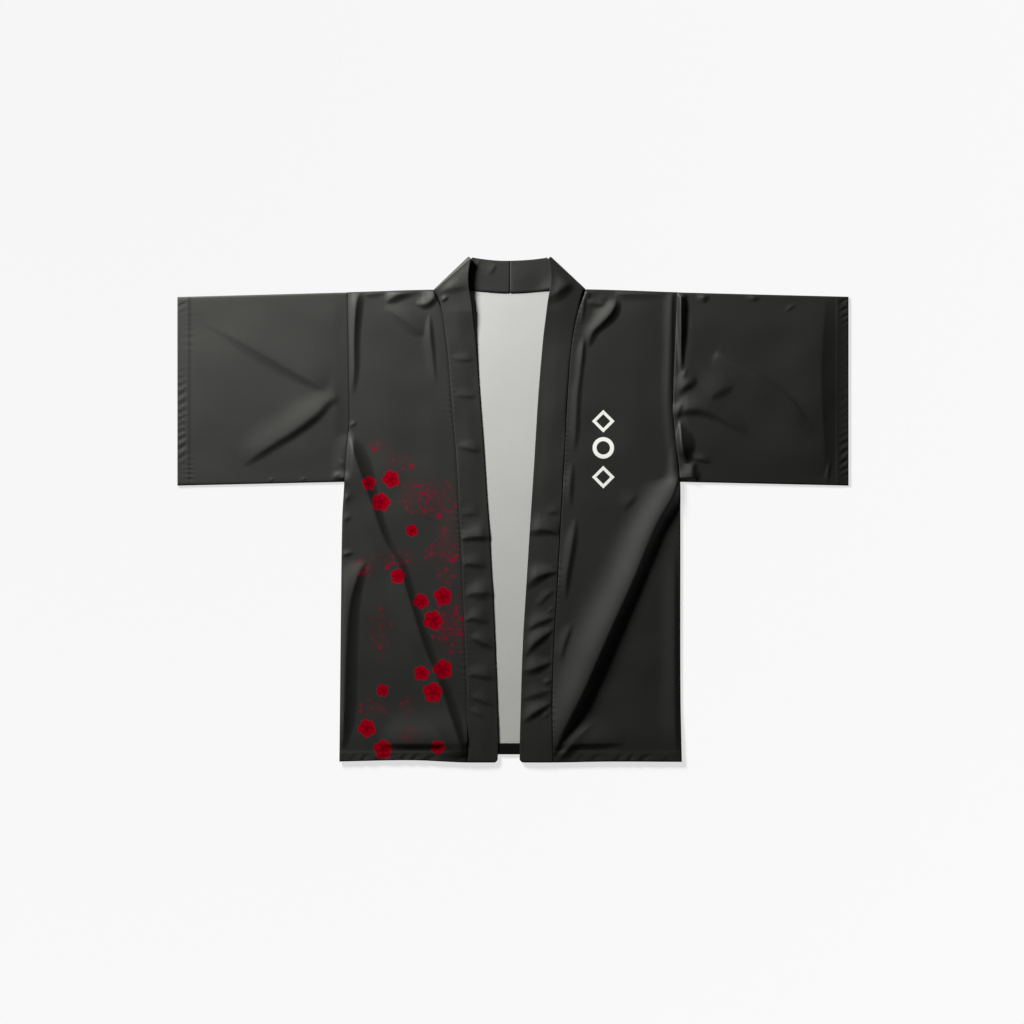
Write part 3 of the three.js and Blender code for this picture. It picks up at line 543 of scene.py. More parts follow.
def thicken(piece, thickness, inner_slot=0, rim_slot=0):
    solidify = piece.modifiers.new("cloth wall", "SOLIDIFY")
    solidify.thickness = thickness
    solidify.offset = -1
    solidify.use_even_offset = False
    solidify.material_offset = inner_slot
    solidify.material_offset_rim = rim_slot


def dress(piece, node, materials):
    for material in materials:
        piece.data.materials.append(material)
    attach(piece, "root")
    if node:
        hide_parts(node)


def turned_in(piece, index, where):
    """Gives another pair of materials to the faces where the cloth is turned in at a seam."""
    centres = np.empty(len(piece.data.polygons) * 3)
    piece.data.polygons.foreach_get("center", centres)
    x, y = centres.reshape(-1, 3)[:, :2].T / MM
    piece.data.polygons.foreach_set("material_index", np.where(where(x, y), index, 0))


ALLOWANCE = 10  # how much cloth is turned in beside a seam
TUCK = 3  # how far a front runs on under the collar band
SEAM_COLUMN = 0.98  # share of a front's columns that lie between its side and the band seam
SHARP = math.radians(60)
FRONT_MESH = (200, 742)  # width and length that a front's faces are counted on


def make_front(name, front, materials):
    step = sizes().mesh_step / MM
    out = outward(front)

    def place(u, v):
        row = mix(-TOP, SHOULDER_ROW, v)
        inward = u if out < 0 else 1 - u
        under = np.clip((inward - SEAM_COLUMN) / (1 - SEAM_COLUMN), 0, 1)
        x = mix(read(front.side, row), band_seam(front, row), np.minimum(inward / SEAM_COLUMN, 1))
        x = x - out * TUCK * under**3
        foot, head = 1 - smooth((row + TOP) / 12), 1 - smooth((SHOULDER_ROW - row) / 12)
        y = row + foot * (read(FRONT_HEM, x) + TOP) + head * (read(SHOULDER, x) - SHOULDER_ROW)
        return x, y, front_height(front, x, y)

    piece = grid_piece(name, *(round(length / step) for length in FRONT_MESH), place)
    piece.data.set_sharp_from_angle(angle=SHARP)

    def beside_seam(x, y):
        from_side, from_shoulder = np.abs(x - read(front.side, y)), read(SHOULDER, x) - y
        return (np.minimum(from_side, from_shoulder) < ALLOWANCE) | (y < read(FRONT_HEM, x) + HEM_WIDTH)

    turned_in(piece, 2, beside_seam)
    thicken(piece, sizes().cloth, 1, 0)
    dress(piece, name, materials)


Sleeve = namedtuple("Sleeve", "front folds cuff seed loft droop")
RIGHT_SLEEVE = Sleeve(RIGHT_FRONT, RIGHT_SLEEVE_FOLDS, -HALF_SPAN, 21, 0.6, 0.2)
LEFT_SLEEVE = Sleeve(LEFT_FRONT, LEFT_SLEEVE_FOLDS, HALF_SPAN, 34, 1.8, 1.5)
EDGE_ROUND = 3.2  # how far in from its folded edges a sleeve reaches its height
SLEEVE_GAP = 0.8  # least air between the two layers of a sleeve
SLEEVE_LEAST = 2 * CLOTH + SLEEVE_GAP
SLEEVE_MIDDLE = CLOTH + SLEEVE_GAP / 2
ARM_BLEND = 24  # how far into a sleeve its folds still follow the body's
TUCK_DROP = 1.8  # how far a sleeve's end drops to run in under the body's cloth
CUFF_PITCH = 12  # from one ripple of the cuff to the next


def sleeve_arm(sleeve, y):
    """Where the sleeve's cloth begins, a little way in under the body's."""
    return read(sleeve.front.side, y) + outward(sleeve.front) * (SEAM - TUCK)


def sleeve_rim(sleeve, u):
    low = mix(ARMPIT, CUFF_FOOT, u)
    high = read(SHOULDER, mix(sleeve_arm(sleeve, np.full(len(u), ARMPIT)), sleeve.cuff, u))
    return low, high


def sleeve_height(sleeve, x, y, u):
    """Height of the sleeve's upper layer."""
    size = sizes()
    low, high = sleeve_rim(sleeve, u)
    length = np.abs(sleeve.cuff - sleeve_arm(sleeve, y))
    from_arm, from_cuff = u * length, (1 - u) * length
    from_low, from_high = np.maximum(y - low, 0), np.maximum(high - y, 0)
    from_edge = np.minimum(from_low, from_high)
    inside = smooth(from_edge / 8)
    loft = sleeve.loft * smooth(from_low / 60) * smooth(from_high / 60) * smooth(from_cuff / 90)
    hem = hem_step(CUFF_WIDTH, from_cuff) - sleeve.droop * (1 - smooth(from_cuff / 26))
    folds = size.crease_strength * relief(sleeve.folds, x, y) * inside
    waves = undulation(x, y, sleeve.seed) * smooth(from_edge / 60) * smooth(from_cuff / 40)
    waves = size.unevenness / MM * waves
    ripples = 3 * hem_ripples(1 - from_cuff / CUFF_WIDTH, x, y, y, sleeve.seed, CUFF_PITCH)
    ripples = ripples + puckers(np.abs(from_cuff - CUFF_WIDTH), y, sleeve.seed, 5, 9)
    ripples = size.pucker_depth / MM * inside * (ripples + 0.6)
    free = SLEEVE_LEAST + loft + hem + folds + waves + ripples
    seam_y = np.clip(y, ARMPIT, ARMHOLE_TOP)
    body = front_height(sleeve.front, read(sleeve.front.side, seam_y), seam_y)
    blend = (1 - smooth((from_arm - TUCK) / ARM_BLEND)) * inside
    drop = TUCK_DROP * (1 - smooth(from_arm / TUCK)) * smooth(from_edge / 3)
    return mix(free, np.maximum(body + folds, SLEEVE_LEAST), blend) - drop


UPPER_SHARE = 0.62  # share of the ring's points that goes to the upper layer
CROWD = 0.86  # how much closer the points lie at a folded edge
SLEEVE_MESH = (268, 465)  # length and girth that a sleeve's faces are counted on


def make_sleeve(name, sleeve, materials):
    step = sizes().mesh_step / MM

    def place(u, v):
        upper = v <= UPPER_SHARE
        t = np.where(upper, v / UPPER_SHARE, (1 - v) / (1 - UPPER_SHARE))
        w = t - CROWD * np.sin(2 * math.pi * t) / (2 * math.pi)
        low, high = sleeve_rim(sleeve, u)
        y = mix(low, high, w)
        x = mix(sleeve_arm(sleeve, y), sleeve.cuff, u)
        from_edge = np.minimum(y - low, high - y)
        round_edge = np.sqrt(1 - (1 - np.clip(from_edge / EDGE_ROUND, 0, 1)) ** 2)
        over = mix(SLEEVE_MIDDLE, sleeve_height(sleeve, x, y, u), round_edge)
        under = mix(SLEEVE_MIDDLE, 0, round_edge)
        return x, y, np.where(upper, over, under)

    def in_hem(x, y):
        return np.abs(np.abs(x) - HALF_SPAN) < CUFF_WIDTH

    piece = grid_piece(name, *(round(length / step) for length in SLEEVE_MESH), place, closed=True)
    turned_in(piece, 2, in_hem)
    thicken(piece, sizes().cloth, 1, 0)
    dress(piece, name, materials)


Collar = namedtuple("Collar", "front folds turn seed")
RIGHT_COLLAR = Collar(RIGHT_FRONT, RIGHT_BAND_FOLDS, RIGHT_TURN, 51)
LEFT_COLLAR = Collar(LEFT_FRONT, LEFT_BAND_FOLDS, LEFT_TURN, 64)
# Shares of the mesh along the collar at which the front band, the turn into the fold and the
# roll of the fold end. The rest lies behind the neck.
FRONT_SHARE = 0.715
TURN_SHARE = 0.78
ROLL_SHARE = 0.865
NECK_EASE = 1  # how far the seam bows out on its way into the fold
NECK_HOLLOW = 5.2  # how far the free edge curves in there
NECK_BULGE = 1.5  # and how far it stands up
PRESSED = 0.65  # how far the upper cloth is pressed down along the free edge
NECK_SETTLE = 0.02  # share of its length in which the band behind the neck reaches its outline
COLLAR_RING = 48  # faces once round the doubled cloth
CORNER = 0.035  # how much the lower corner of the free edge is rounded off


def collar_axis(turn, across):
    """Middle of the roll at the shoulder fold, and the direction it faces."""
    along = Vector((turn.peak_x - turn.seam_x, turn.peak_y - turn.seam_y)).normalized()
    side = math.copysign(1, turn.seam_x)
    out = (side * along.y, -side * along.x)
    roll = mix(turn.seam_roll, turn.peak_roll, across)
    reach = roll + BAND / 2
    x = mix(turn.seam_x, turn.peak_x, across) - out[0] * reach
    y = mix(turn.seam_y, turn.peak_y, across) - out[1] * reach
    return x, y, roll, out


def down_the_front(band, t, across):
    y = mix(-TOP, FAN_START, t)
    x = mix(read(band, y), read(band, y, 2), across)
    rest = rest_on_back(y) + mix(read(band, y, 3), read(band, y, 4), across)
    return x, y, rest + BAND / 2


def into_the_fold(band, turn, t, across):
    side = math.copysign(1, turn.seam_x)
    last = np.array([FAN_START], float)
    seam_x, edge_x, seam_lift, edge_lift = (read(band, last, column)[0] for column in (1, 2, 3, 4))
    seam_end, edge_end = collar_axis(turn, 0.0), collar_axis(turn, 1.0)
    ease = -side * NECK_EASE * np.sin(math.pi * t) * (1 - across)
    ease = ease + side * NECK_HOLLOW * np.sin(math.pi * t**1.4) * across
    x = mix(mix(seam_x, seam_end[0], t), mix(edge_x, edge_end[0], t), across) + ease
    y = mix(mix(FAN_START, seam_end[1], t), mix(FAN_START, edge_end[1], t), across)
    low = FRONT_REST + mix(seam_lift, edge_lift, across)
    high = 2 * mix(turn.seam_roll, turn.peak_roll, across)
    bulge = NECK_BULGE * np.sin(math.pi * t**1.8) ** 2 * across**2
    return x, y, mix(low, high, mix(smooth(t), t, across)) + BAND / 2 + bulge


def round_the_fold(turn, angle, across):
    axis_x, axis_y, roll, out = collar_axis(turn, across)
    x = axis_x + out[0] * roll * np.sin(angle)
    y = axis_y + out[1] * roll * np.sin(angle)
    return x, y, BAND / 2 + roll * (1 + np.cos(angle))


def behind_the_neck(turn, t, across):
    seam_end, edge_end = collar_axis(turn, 0.0), collar_axis(turn, 1.0)
    settle = smooth(t / NECK_SETTLE)
    seam_x, edge_x = mix(seam_end[0], CENTRE_BACK, t), mix(edge_end[0], CENTRE_BACK, t)
    seam_y = mix(seam_end[1], read(BACK_TOP, seam_x) + SEAM, settle)
    edge_y = mix(edge_end[1], read(NECK_TOP, edge_x), settle)
    return mix(seam_x, edge_x, across), mix(seam_y, edge_y, across), np.full(len(t), BAND / 2)


def share_between(along, start, end):
    return np.clip((along - start) / (end - start), 0, 1)


def collar_point(collar, along, across, height):
    """A point of the collar: along from the hem to the centre back, across from the seam to
    the free edge, and height from the middle of the doubled cloth."""
    band, turn = collar.front.band, collar.turn
    angle = math.pi * share_between(along, TURN_SHARE, ROLL_SHARE)
    zones = (
        down_the_front(band, share_between(along, 0, FRONT_SHARE), across),
        into_the_fold(band, turn, share_between(along, FRONT_SHARE, TURN_SHARE), across),
        round_the_fold(turn, angle, across),
        behind_the_neck(turn, share_between(along, ROLL_SHARE, 1), across),
    )
    zone = np.searchsorted((FRONT_SHARE, TURN_SHARE, ROLL_SHARE), along)
    x, y, z = (np.choose(zone, values) for values in zip(*zones))
    # The creases and puckers, and the cloth's own thickness
    size = sizes()
    lying = 1 - smooth((along - TURN_SHARE + 0.02) / 0.02) + smooth((along - ROLL_SHARE) / 0.03)
    crease = size.crease_strength * relief(collar.folds, x, y)
    pucker = size.pucker_depth / MM * puckers(across * BAND_WIDTH, y, collar.seed, 5, 8)
    wave = 0.7 * size.unevenness / MM * undulation(x, y, collar.seed, 40, 150)
    facing_up = height * np.cos(angle) > 0
    pressed = 1 - PRESSED * smooth((across - 0.4) / 0.6) * lying
    height = np.where(facing_up, height * pressed, height)
    rounded = 0.5 * np.exp(-(1 - along) * COLLAR_LENGTH / 1.5)
    rounded = rounded + 0.2 * np.exp(-across * BAND_WIDTH / 0.9) * lying
    free = mix(0.4, 1, smooth((1 - across) / 0.35))
    lift = (crease + pucker + wave) * smooth(across / 0.08) * free * lying
    lift = np.where(facing_up, lift - rounded, np.maximum(0.85 * lift, 0))
    out = collar_axis(turn, across)[3]
    x = x + out[0] * height * np.sin(angle)
    y = y + out[1] * height * np.sin(angle)
    z = z + height * np.cos(angle) + lift
    return x, y, z


def collar_profile(v):
    """Once round the doubled cloth: upper face, free edge, lower face, and the sewn edge."""
    t = v * 4
    half = BAND / 2
    over = t < 2
    turn = (t >= 2) & (t < 2.5)
    below = (t >= 2.5) & (t < 3.9)
    across = np.where(over, t / 2, 1)
    angle = math.pi * (t - 2) / 0.5
    bulge = half / BAND_WIDTH
    across = np.where(turn, 1 + bulge * np.sin(angle), across)
    across = np.where(below, 1 - (t - 2.5) / 1.4, across) * (1 - bulge)
    across = np.where(t >= 3.9, 0, across)
    height = np.where(over, half, -half)
    height = np.where(turn, half * np.cos(angle), height)
    height = np.where(t >= 3.9, mix(-half, half, (t - 3.9) / 0.1), height)
    return across, height


def make_collar(name, collar, materials):
    step = sizes().mesh_step / MM

    def place(u, v):
        across, height = collar_profile(v)
        corner = 1 - CORNER * (1 - smooth(u * COLLAR_LENGTH / 4)) * (across > 0.5)
        return collar_point(collar, u, across * corner, height)

    piece = grid_piece(name, round(COLLAR_LENGTH / step), COLLAR_RING, place, closed=True)
    bm = bmesh.new()
    bm.from_mesh(piece.data)
    bmesh.ops.holes_fill(bm, edges=bm.edges, sides=60)
    bmesh.ops.recalc_face_normals(bm, faces=bm.faces)
    bm.to_mesh(piece.data)
    bm.free()
    piece.data.shade_smooth()
    dress(piece, name, materials)


BACK_EDGES = (-262, 252)  # sides of the middle of the back, which lies a little higher
BACK_ENDS = (BACK_FOOT, 340)
NECK_HALF = 75  # half of the neck's width
BESIDE_NECK = 80  # from here out the shoulders are turned in


def make_back(materials):
    """Back panel with its pale inner side up."""

    def place(u, v):
        row = mix(BACK_FOOT, SHOULDER_ROW, v)
        x = mix(read(RIGHT_SIDE, row), read(LEFT_SIDE, row), u)
        foot, head = 1 - smooth((row - BACK_FOOT) / 20), 1 - smooth((SHOULDER_ROW - row) / 20)
        top = read(BACK_TOP, x)
        under_collar = TUCK * smooth((NECK_HALF - np.abs(x - CENTRE_BACK)) / 15)
        y = row + foot * (read(BACK_HEM, x) - BACK_FOOT) + head * (top + under_collar - SHOULDER_ROW)
        middle = smooth((x - BACK_EDGES[0]) / 40) * smooth((BACK_EDGES[1] - x) / 40)
        middle = middle * smooth((y - BACK_ENDS[0]) / 30) * smooth((BACK_ENDS[1] - y) / 20)
        tucked = 0.6 * smooth((y - top) / 1.5)
        return x, y, CLOTH + middle * (0.22 + 0.2 * undulation(x, y, 5)) + tucked

    def beside_seam(x, y):
        from_side = np.minimum(np.abs(x - read(RIGHT_SIDE, y)), np.abs(x - read(LEFT_SIDE, y)))
        on_shoulder = (y > SHOULDER_ROW - ALLOWANCE) & (np.abs(x - CENTRE_BACK) > BESIDE_NECK)
        return (from_side < ALLOWANCE) | on_shoulder

    piece = grid_piece("back_panel", 140, 190, place)
    turned_in(piece, 1, beside_seam)
    thicken(piece, CLOTH * MM, 1, 1)
    dress(piece, "back", materials)


def make_back_hem(materials):
    """Strip of the back that is turned up at the bottom."""

    def place(u, v):
        x = mix(RIGHT_SIDE[0][1] + 1, LEFT_SIDE[0][1] - 1, u)
        y = read(BACK_HEM, x) + v * HEM_WIDTH
        return x, y, FRONT_REST + CLOTH + 0.12 * undulation(x, y, 6) * np.sin(math.pi * v)

    piece = grid_piece("back_hem_strip", 240, 8, place)
    thicken(piece, sizes().cloth)
    dress(piece, "back_hem", materials)


# Materials


def new_material(name):
    material = bpy.data.materials.new(name)
    material.use_nodes = True
    tree = material.node_tree
    return material, tree, tree.nodes["Principled BSDF"]


def add(tree, kind, inputs=(), **settings):
    node = tree.nodes.new("ShaderNode" + kind)
    for key, value in settings.items():
        setattr(node, key, value)
    for socket, value in dict(inputs).items():
        if isinstance(value, bpy.types.NodeSocket):
            tree.links.new(value, node.inputs[socket])
        else:
            node.inputs[socket].default_value = value
    return node


def maths(tree, operation, *values, clamp=False):
    node = add(tree, "Math", enumerate(values), operation=operation)
    node.use_clamp = clamp
    return node.outputs[0]


def colour_mix(tree, factor, a, b):
    return add(tree, "Mix", {0: factor, 6: a, 7: b}, data_type="RGBA").outputs[2]


WEAVE = 420  # scale of the weave, of its fuzz and of the clouds in its dye
FUZZ = 900
DYE = 14
WEAVE_DEPTH = 0.0002


def cloth_bump(tree, shader, place, strength):
    """A fine plain weave."""
    inputs = {"Vector": place, "Scale": WEAVE, "Distortion": 1.2, "Detail": 2.0, "Detail Scale": 1.4}
    weave = []
    for direction in ("X", "Y"):
        thread = add(tree, "TexWave", inputs, wave_type="BANDS", bands_direction=direction)
        weave.append(thread.outputs["Fac"])
    fuzz = add(tree, "TexNoise", {"Vector": place, "Scale": FUZZ, "Detail": 3.0})
    height = maths(tree, "ADD", maths(tree, "ADD", *weave), fuzz.outputs["Fac"])
    inputs = {"Height": height, "Strength": strength, "Distance": WEAVE_DEPTH}
    bump = add(tree, "Bump", inputs)
    tree.links.new(bump.outputs["Normal"], shader.inputs["Normal"])


def cloth_colour(tree, place, colour, spread):
    """Colour that varies a little from place to place, as dyed cloth does."""
    cloud = add(tree, "TexNoise", {"Vector": place, "Scale": DYE, "Detail": 5.0})
    darker = [c * (1 - spread) for c in colour] + [1]
    lighter = [min(1, c * (1 + spread)) for c in colour] + [1]
    return colour_mix(tree, cloud.outputs["Fac"], darker, lighter)


def cloth_material(name, colour, roughness, specular, spread=0.2, bump=0.2, print_on=None):
    """Woven cloth. print_on adds printed ink, which is matt where the cloth has a sheen."""
    material, tree, shader = new_material(name)
    place = add(tree, "TexCoord").outputs["Object"]
    dyed = cloth_colour(tree, place, colour, spread)
    shader.inputs["Roughness"].default_value = roughness
    shader.inputs["Specular IOR Level"].default_value = specular
    if print_on:
        dyed, ink = print_on(tree, flat_place(tree, place), dyed)
        bare = maths(tree, "SUBTRACT", 1.0, ink, clamp=True)
        tree.links.new(maths(tree, "MULTIPLY", bare, specular), shader.inputs["Specular IOR Level"])
    tree.links.new(dyed, shader.inputs["Base Color"])
    cloth_bump(tree, shader, place, bump)
    return material


def petals(tree, place, spots):
    """Cover of a few round spots: x, y, radius."""
    cover = 0.0
    for x, y, radius in spots:
        away = add(tree, "VectorMath", {0: place, 1: (x, y, 0)}, operation="DISTANCE")
        inside = maths(tree, "SUBTRACT", radius, away.outputs["Value"])
        cover = maths(tree, "MAXIMUM", maths(tree, "MULTIPLY", inside, 9.0, clamp=True), cover)
    return cover


PETAL = 2 * math.pi / 5
OPEN_BLOSSOM = [(0.48 * math.cos(PETAL * i), 0.48 * math.sin(PETAL * i), 0.47) for i in range(5)]
OPEN_BLOSSOM.append((0, 0, 0.3))
SIDE_BLOSSOM = [
    (-0.3, -0.12, 0.5),
    (0.3, -0.12, 0.5),
    (0, -0.3, 0.52),
    (0.16, 0.42, 0.36),
    (-0.34, 0.24, 0.36),
]


def blossom_group(name, spots):
    """A blossom of radius 1: how much of it covers a place, and how light it is there."""
    tree = bpy.data.node_groups.new(name, "ShaderNodeTree")
    tree.interface.new_socket("Place", in_out="INPUT", socket_type="NodeSocketVector")
    tree.interface.new_socket("Cover", in_out="OUTPUT", socket_type="NodeSocketFloat")
    tree.interface.new_socket("Light", in_out="OUTPUT", socket_type="NodeSocketFloat")
    place = tree.nodes.new("NodeGroupInput").outputs[0]
    rough = add(tree, "TexNoise", {"Vector": place, "Scale": 1.9, "Detail": 4.0})
    inputs = {0: rough.outputs["Color"], 1: (0.5, 0.5, 0.5)}
    bend = add(tree, "VectorMath", inputs, operation="SUBTRACT")
    small = add(tree, "VectorMath", {0: bend.outputs[0], "Scale": 0.5}, operation="SCALE")
    bent = add(tree, "VectorMath", {0: place, 1: small.outputs[0]}, operation="ADD").outputs[0]
    split = add(tree, "SeparateXYZ", {0: bent})
    x, y = split.outputs[0], split.outputs[1]
    cover = petals(tree, flat_place(tree, bent), spots)
    radius = add(tree, "VectorMath", {0: bent}, operation="LENGTH").outputs["Value"]
    turn = maths(tree, "MULTIPLY", maths(tree, "ARCTAN2", y, x), 5.0)
    vein = maths(tree, "MULTIPLY_ADD", maths(tree, "COSINE", turn), -0.5, 0.5)
    near = maths(tree, "MULTIPLY", maths(tree, "SUBTRACT", 0.8, radius), 2.0, clamp=True)
    heart = maths(tree, "MULTIPLY", maths(tree, "SUBTRACT", 0.3, radius), 5.0, clamp=True)
    speck = maths(tree, "MULTIPLY_ADD", rough.outputs["Fac"], 1.4, -0.1)
    dark = maths(tree, "MULTIPLY", maths(tree, "MULTIPLY", vein, near), 0.6)
    dark = maths(tree, "MAXIMUM", dark, maths(tree, "MULTIPLY", heart, speck))
    out = tree.nodes.new("NodeGroupOutput")
    tree.links.new(cover, out.inputs[0])
    tree.links.new(maths(tree, "SUBTRACT", 1.0, dark, clamp=True), out.inputs[1])
    return tree


def placed(tree, place, x, y, half_width, half_height, turn=0):
    """The place measured from a centre, in half widths."""
    inputs = {
        "Vector": place,
        "Location": (x * MM, y * MM, 0),
        "Rotation": (0, 0, math.radians(turn)),
        "Scale": (half_width * MM, half_height * MM, 1),
    }
    return add(tree, "Mapping", inputs, vector_type="TEXTURE").outputs[0]


def flat_place(tree, place):
    """The place without its height, so that a print runs straight down through a fold."""
    split = add(tree, "SeparateXYZ", {0: place})
    joined = add(tree, "CombineXYZ", {0: split.outputs[0], 1: split.outputs[1]})
    return joined.outputs[0]


def dots(tree, place, density, spacing, small, large):
    """Scattered round dots, as many as the density asks for."""
    inputs = {"Vector": place, "Scale": 1 / (spacing * MM), "Randomness": 1.0}
    cells = add(tree, "TexVoronoi", inputs)
    chance = add(tree, "SeparateColor", {0: cells.outputs["Color"]})
    wanted = maths(tree, "GREATER_THAN", density, chance.outputs[0])
    radius = maths(tree, "MULTIPLY_ADD", chance.outputs[1], large - small, small)
    edge = maths(tree, "SUBTRACT", radius, cells.outputs["Distance"])
    cover = maths(tree, "MULTIPLY", maths(tree, "MULTIPLY", edge, 7.0, clamp=True), wanted)
    return maths(tree, "MULTIPLY", cover, maths(tree, "MULTIPLY_ADD", chance.outputs[2], 0.6, 0.25))


# Layers of dots: spacing, least and greatest radius, share of the cloud's density
DOT_LAYERS = ((10, 0.26, 0.55, 1), (6.5, 0.2, 0.5, 0.4), (4.4, 0.18, 0.42, 0.15))
CLOUD_REACH = 1.5
CLOUD_DENSITY = 2.2
HAZE = 0.06  # how much red lies between the dots
PETAL_SHADE = 0.22  # how dark a blossom's veins and heart are


def print_blossoms(tree, place, ground):
    """Dark red blossoms among clouds of dots."""
    red = colours().blossom
    density = 0.0
    for x, y, half_width, half_height, dense in SPECKLES:
        spot = placed(tree, place, x, y, half_width * CLOUD_REACH, half_height * CLOUD_REACH)
        cloud = add(tree, "TexGradient", {0: spot}, gradient_type="SPHERICAL").outputs["Fac"]
        density = maths(tree, "MULTIPLY_ADD", cloud, CLOUD_DENSITY * dense, density)
    ink = maths(tree, "MULTIPLY", density, HAZE, clamp=True)
    for spacing, small, large, share in DOT_LAYERS:
        wanted = maths(tree, "MULTIPLY", density, share)
        ink = maths(tree, "MAXIMUM", dots(tree, place, wanted, spacing, small, large), ink)
    colour = colour_mix(tree, ink, ground, [*colours().speckle, 1])
    open_blossom = blossom_group("open blossom", OPEN_BLOSSOM)
    side_blossom = blossom_group("side blossom", SIDE_BLOSSOM)
    for x, y, width, turn, is_open in BLOSSOMS:
        spot = placed(tree, place, x, y, width / 2, width / 2, turn)
        blossom = add(tree, "Group", node_tree=open_blossom if is_open else side_blossom)
        tree.links.new(spot, blossom.inputs[0])
        shade = colour_mix(tree, blossom.outputs[1], [c * PETAL_SHADE for c in red] + [1], [*red, 1])
        colour = colour_mix(tree, blossom.outputs[0], colour, shade)
        ink = maths(tree, "MAXIMUM", blossom.outputs[0], ink)
    return colour, ink


MARK_LINE = 0.76  # where a mark's line runs, and half of its width, as shares of the mark's size
MARK_HALF_LINE = 0.2


def print_marks(tree, place, ground):
    """Three plain pale marks, two lozenges and a ring."""
    cover = 0.0
    for x, y, half_width, is_ring in MARKS:
        spot = placed(tree, place, x, y, half_width, half_width)
        if is_ring:
            far = add(tree, "VectorMath", {0: spot}, operation="LENGTH").outputs["Value"]
        else:
            split = add(tree, "SeparateXYZ", {0: spot})
            far = maths(tree, "ADD", *(maths(tree, "ABSOLUTE", split.outputs[i]) for i in (0, 1)))
        line = maths(tree, "ABSOLUTE", maths(tree, "SUBTRACT", far, MARK_LINE))
        drawn = maths(tree, "MULTIPLY", maths(tree, "SUBTRACT", MARK_HALF_LINE, line), 20.0, clamp=True)
        cover = maths(tree, "MAXIMUM", drawn, cover)
    return colour_mix(tree, cover, ground, [*colours().mark, 1]), cover


def cloth_materials():
    """The jacket's materials by name, made once."""
    if "black cloth" not in bpy.data.materials:
        paint = colours()
        look = {"roughness": paint.roughness, "specular": paint.sheen}
        cloth_material("black cloth", paint.shell, **look)
        cloth_material("black cloth with blossoms", paint.shell, **look, print_on=print_blossoms)
        cloth_material("black cloth with marks", paint.shell, **look, print_on=print_marks)
        cloth_material("collar cloth", paint.shell, **look)
        cloth_material("hem cloth", paint.hem, roughness=0.8, specular=0.12)
        cloth_material("pale inner side", paint.inside, roughness=0.85, specular=0.2, spread=0.03)
        # The thread is black and darker than the cloth: partly its own colour, partly painted shade standing
        # in for the shadow in its needle holes.
        cloth_material("black thread", paint.thread, roughness=0.8, specular=0.2, bump=0.1)
    return bpy.data.materials


# Stitching

STITCH = 2.3  # length of a stitch
STITCH_PITCH = 3.1  # from one stitch to the next
THREAD = 0.22  # half of the thread's width
STITCH_INSET = 1.6  # how far a row of stitches lies inside the edge of its hem
CUFF_INSET = 1.8  # and of a cuff's
BESIDE_BAND = 2.6  # how far one lies from the band seam
BESIDE_ARMHOLE = 2.2  # from the armhole seam
BESIDE_NECK_SEAM = 3  # from the seam behind the neck
BESIDE_CENTRE = 1.2  # and from the centre back seam
TACK = (342, 349)  # lower and upper end of the stitches at the centre back
NECK_STITCHES = (-66, 54)
BACK_HEM_STITCHES = (-22, 10)  # the stretch that shows in the front opening


def stitch_row(bm, line, height):
    """One row of stitches along a line of x and y, lying on the cloth."""
    line = np.array(line, float)
    steps = np.hypot(*np.diff(line, axis=0).T)
    travelled = np.concatenate([[0], np.cumsum(steps)])
    places = np.arange(STITCH_PITCH / 2, travelled[-1], STITCH_PITCH)
    x, y = (np.interp(places, travelled, line[:, i]) for i in (0, 1))
    ahead_x, ahead_y = (np.interp(places + 1, travelled, line[:, i]) for i in (0, 1))
    turn = np.arctan2(ahead_y - y, ahead_x - x)
    z = height(x, y)
    slope = height(x + np.cos(turn), y + np.sin(turn)) - z
    for px, py, pz, angle, rise in zip(x, y, z, turn, slope):
        spin = Euler((0, -math.atan(rise), angle)).to_matrix().to_4x4()
        size = Matrix.Diagonal((STITCH / 2 * MM, THREAD * MM, THREAD * MM, 1))
        matrix = Matrix.Translation(Vector((px, py, pz)) * MM) @ spin @ size
        bmesh.ops.create_icosphere(bm, subdivisions=1, radius=1, matrix=matrix)


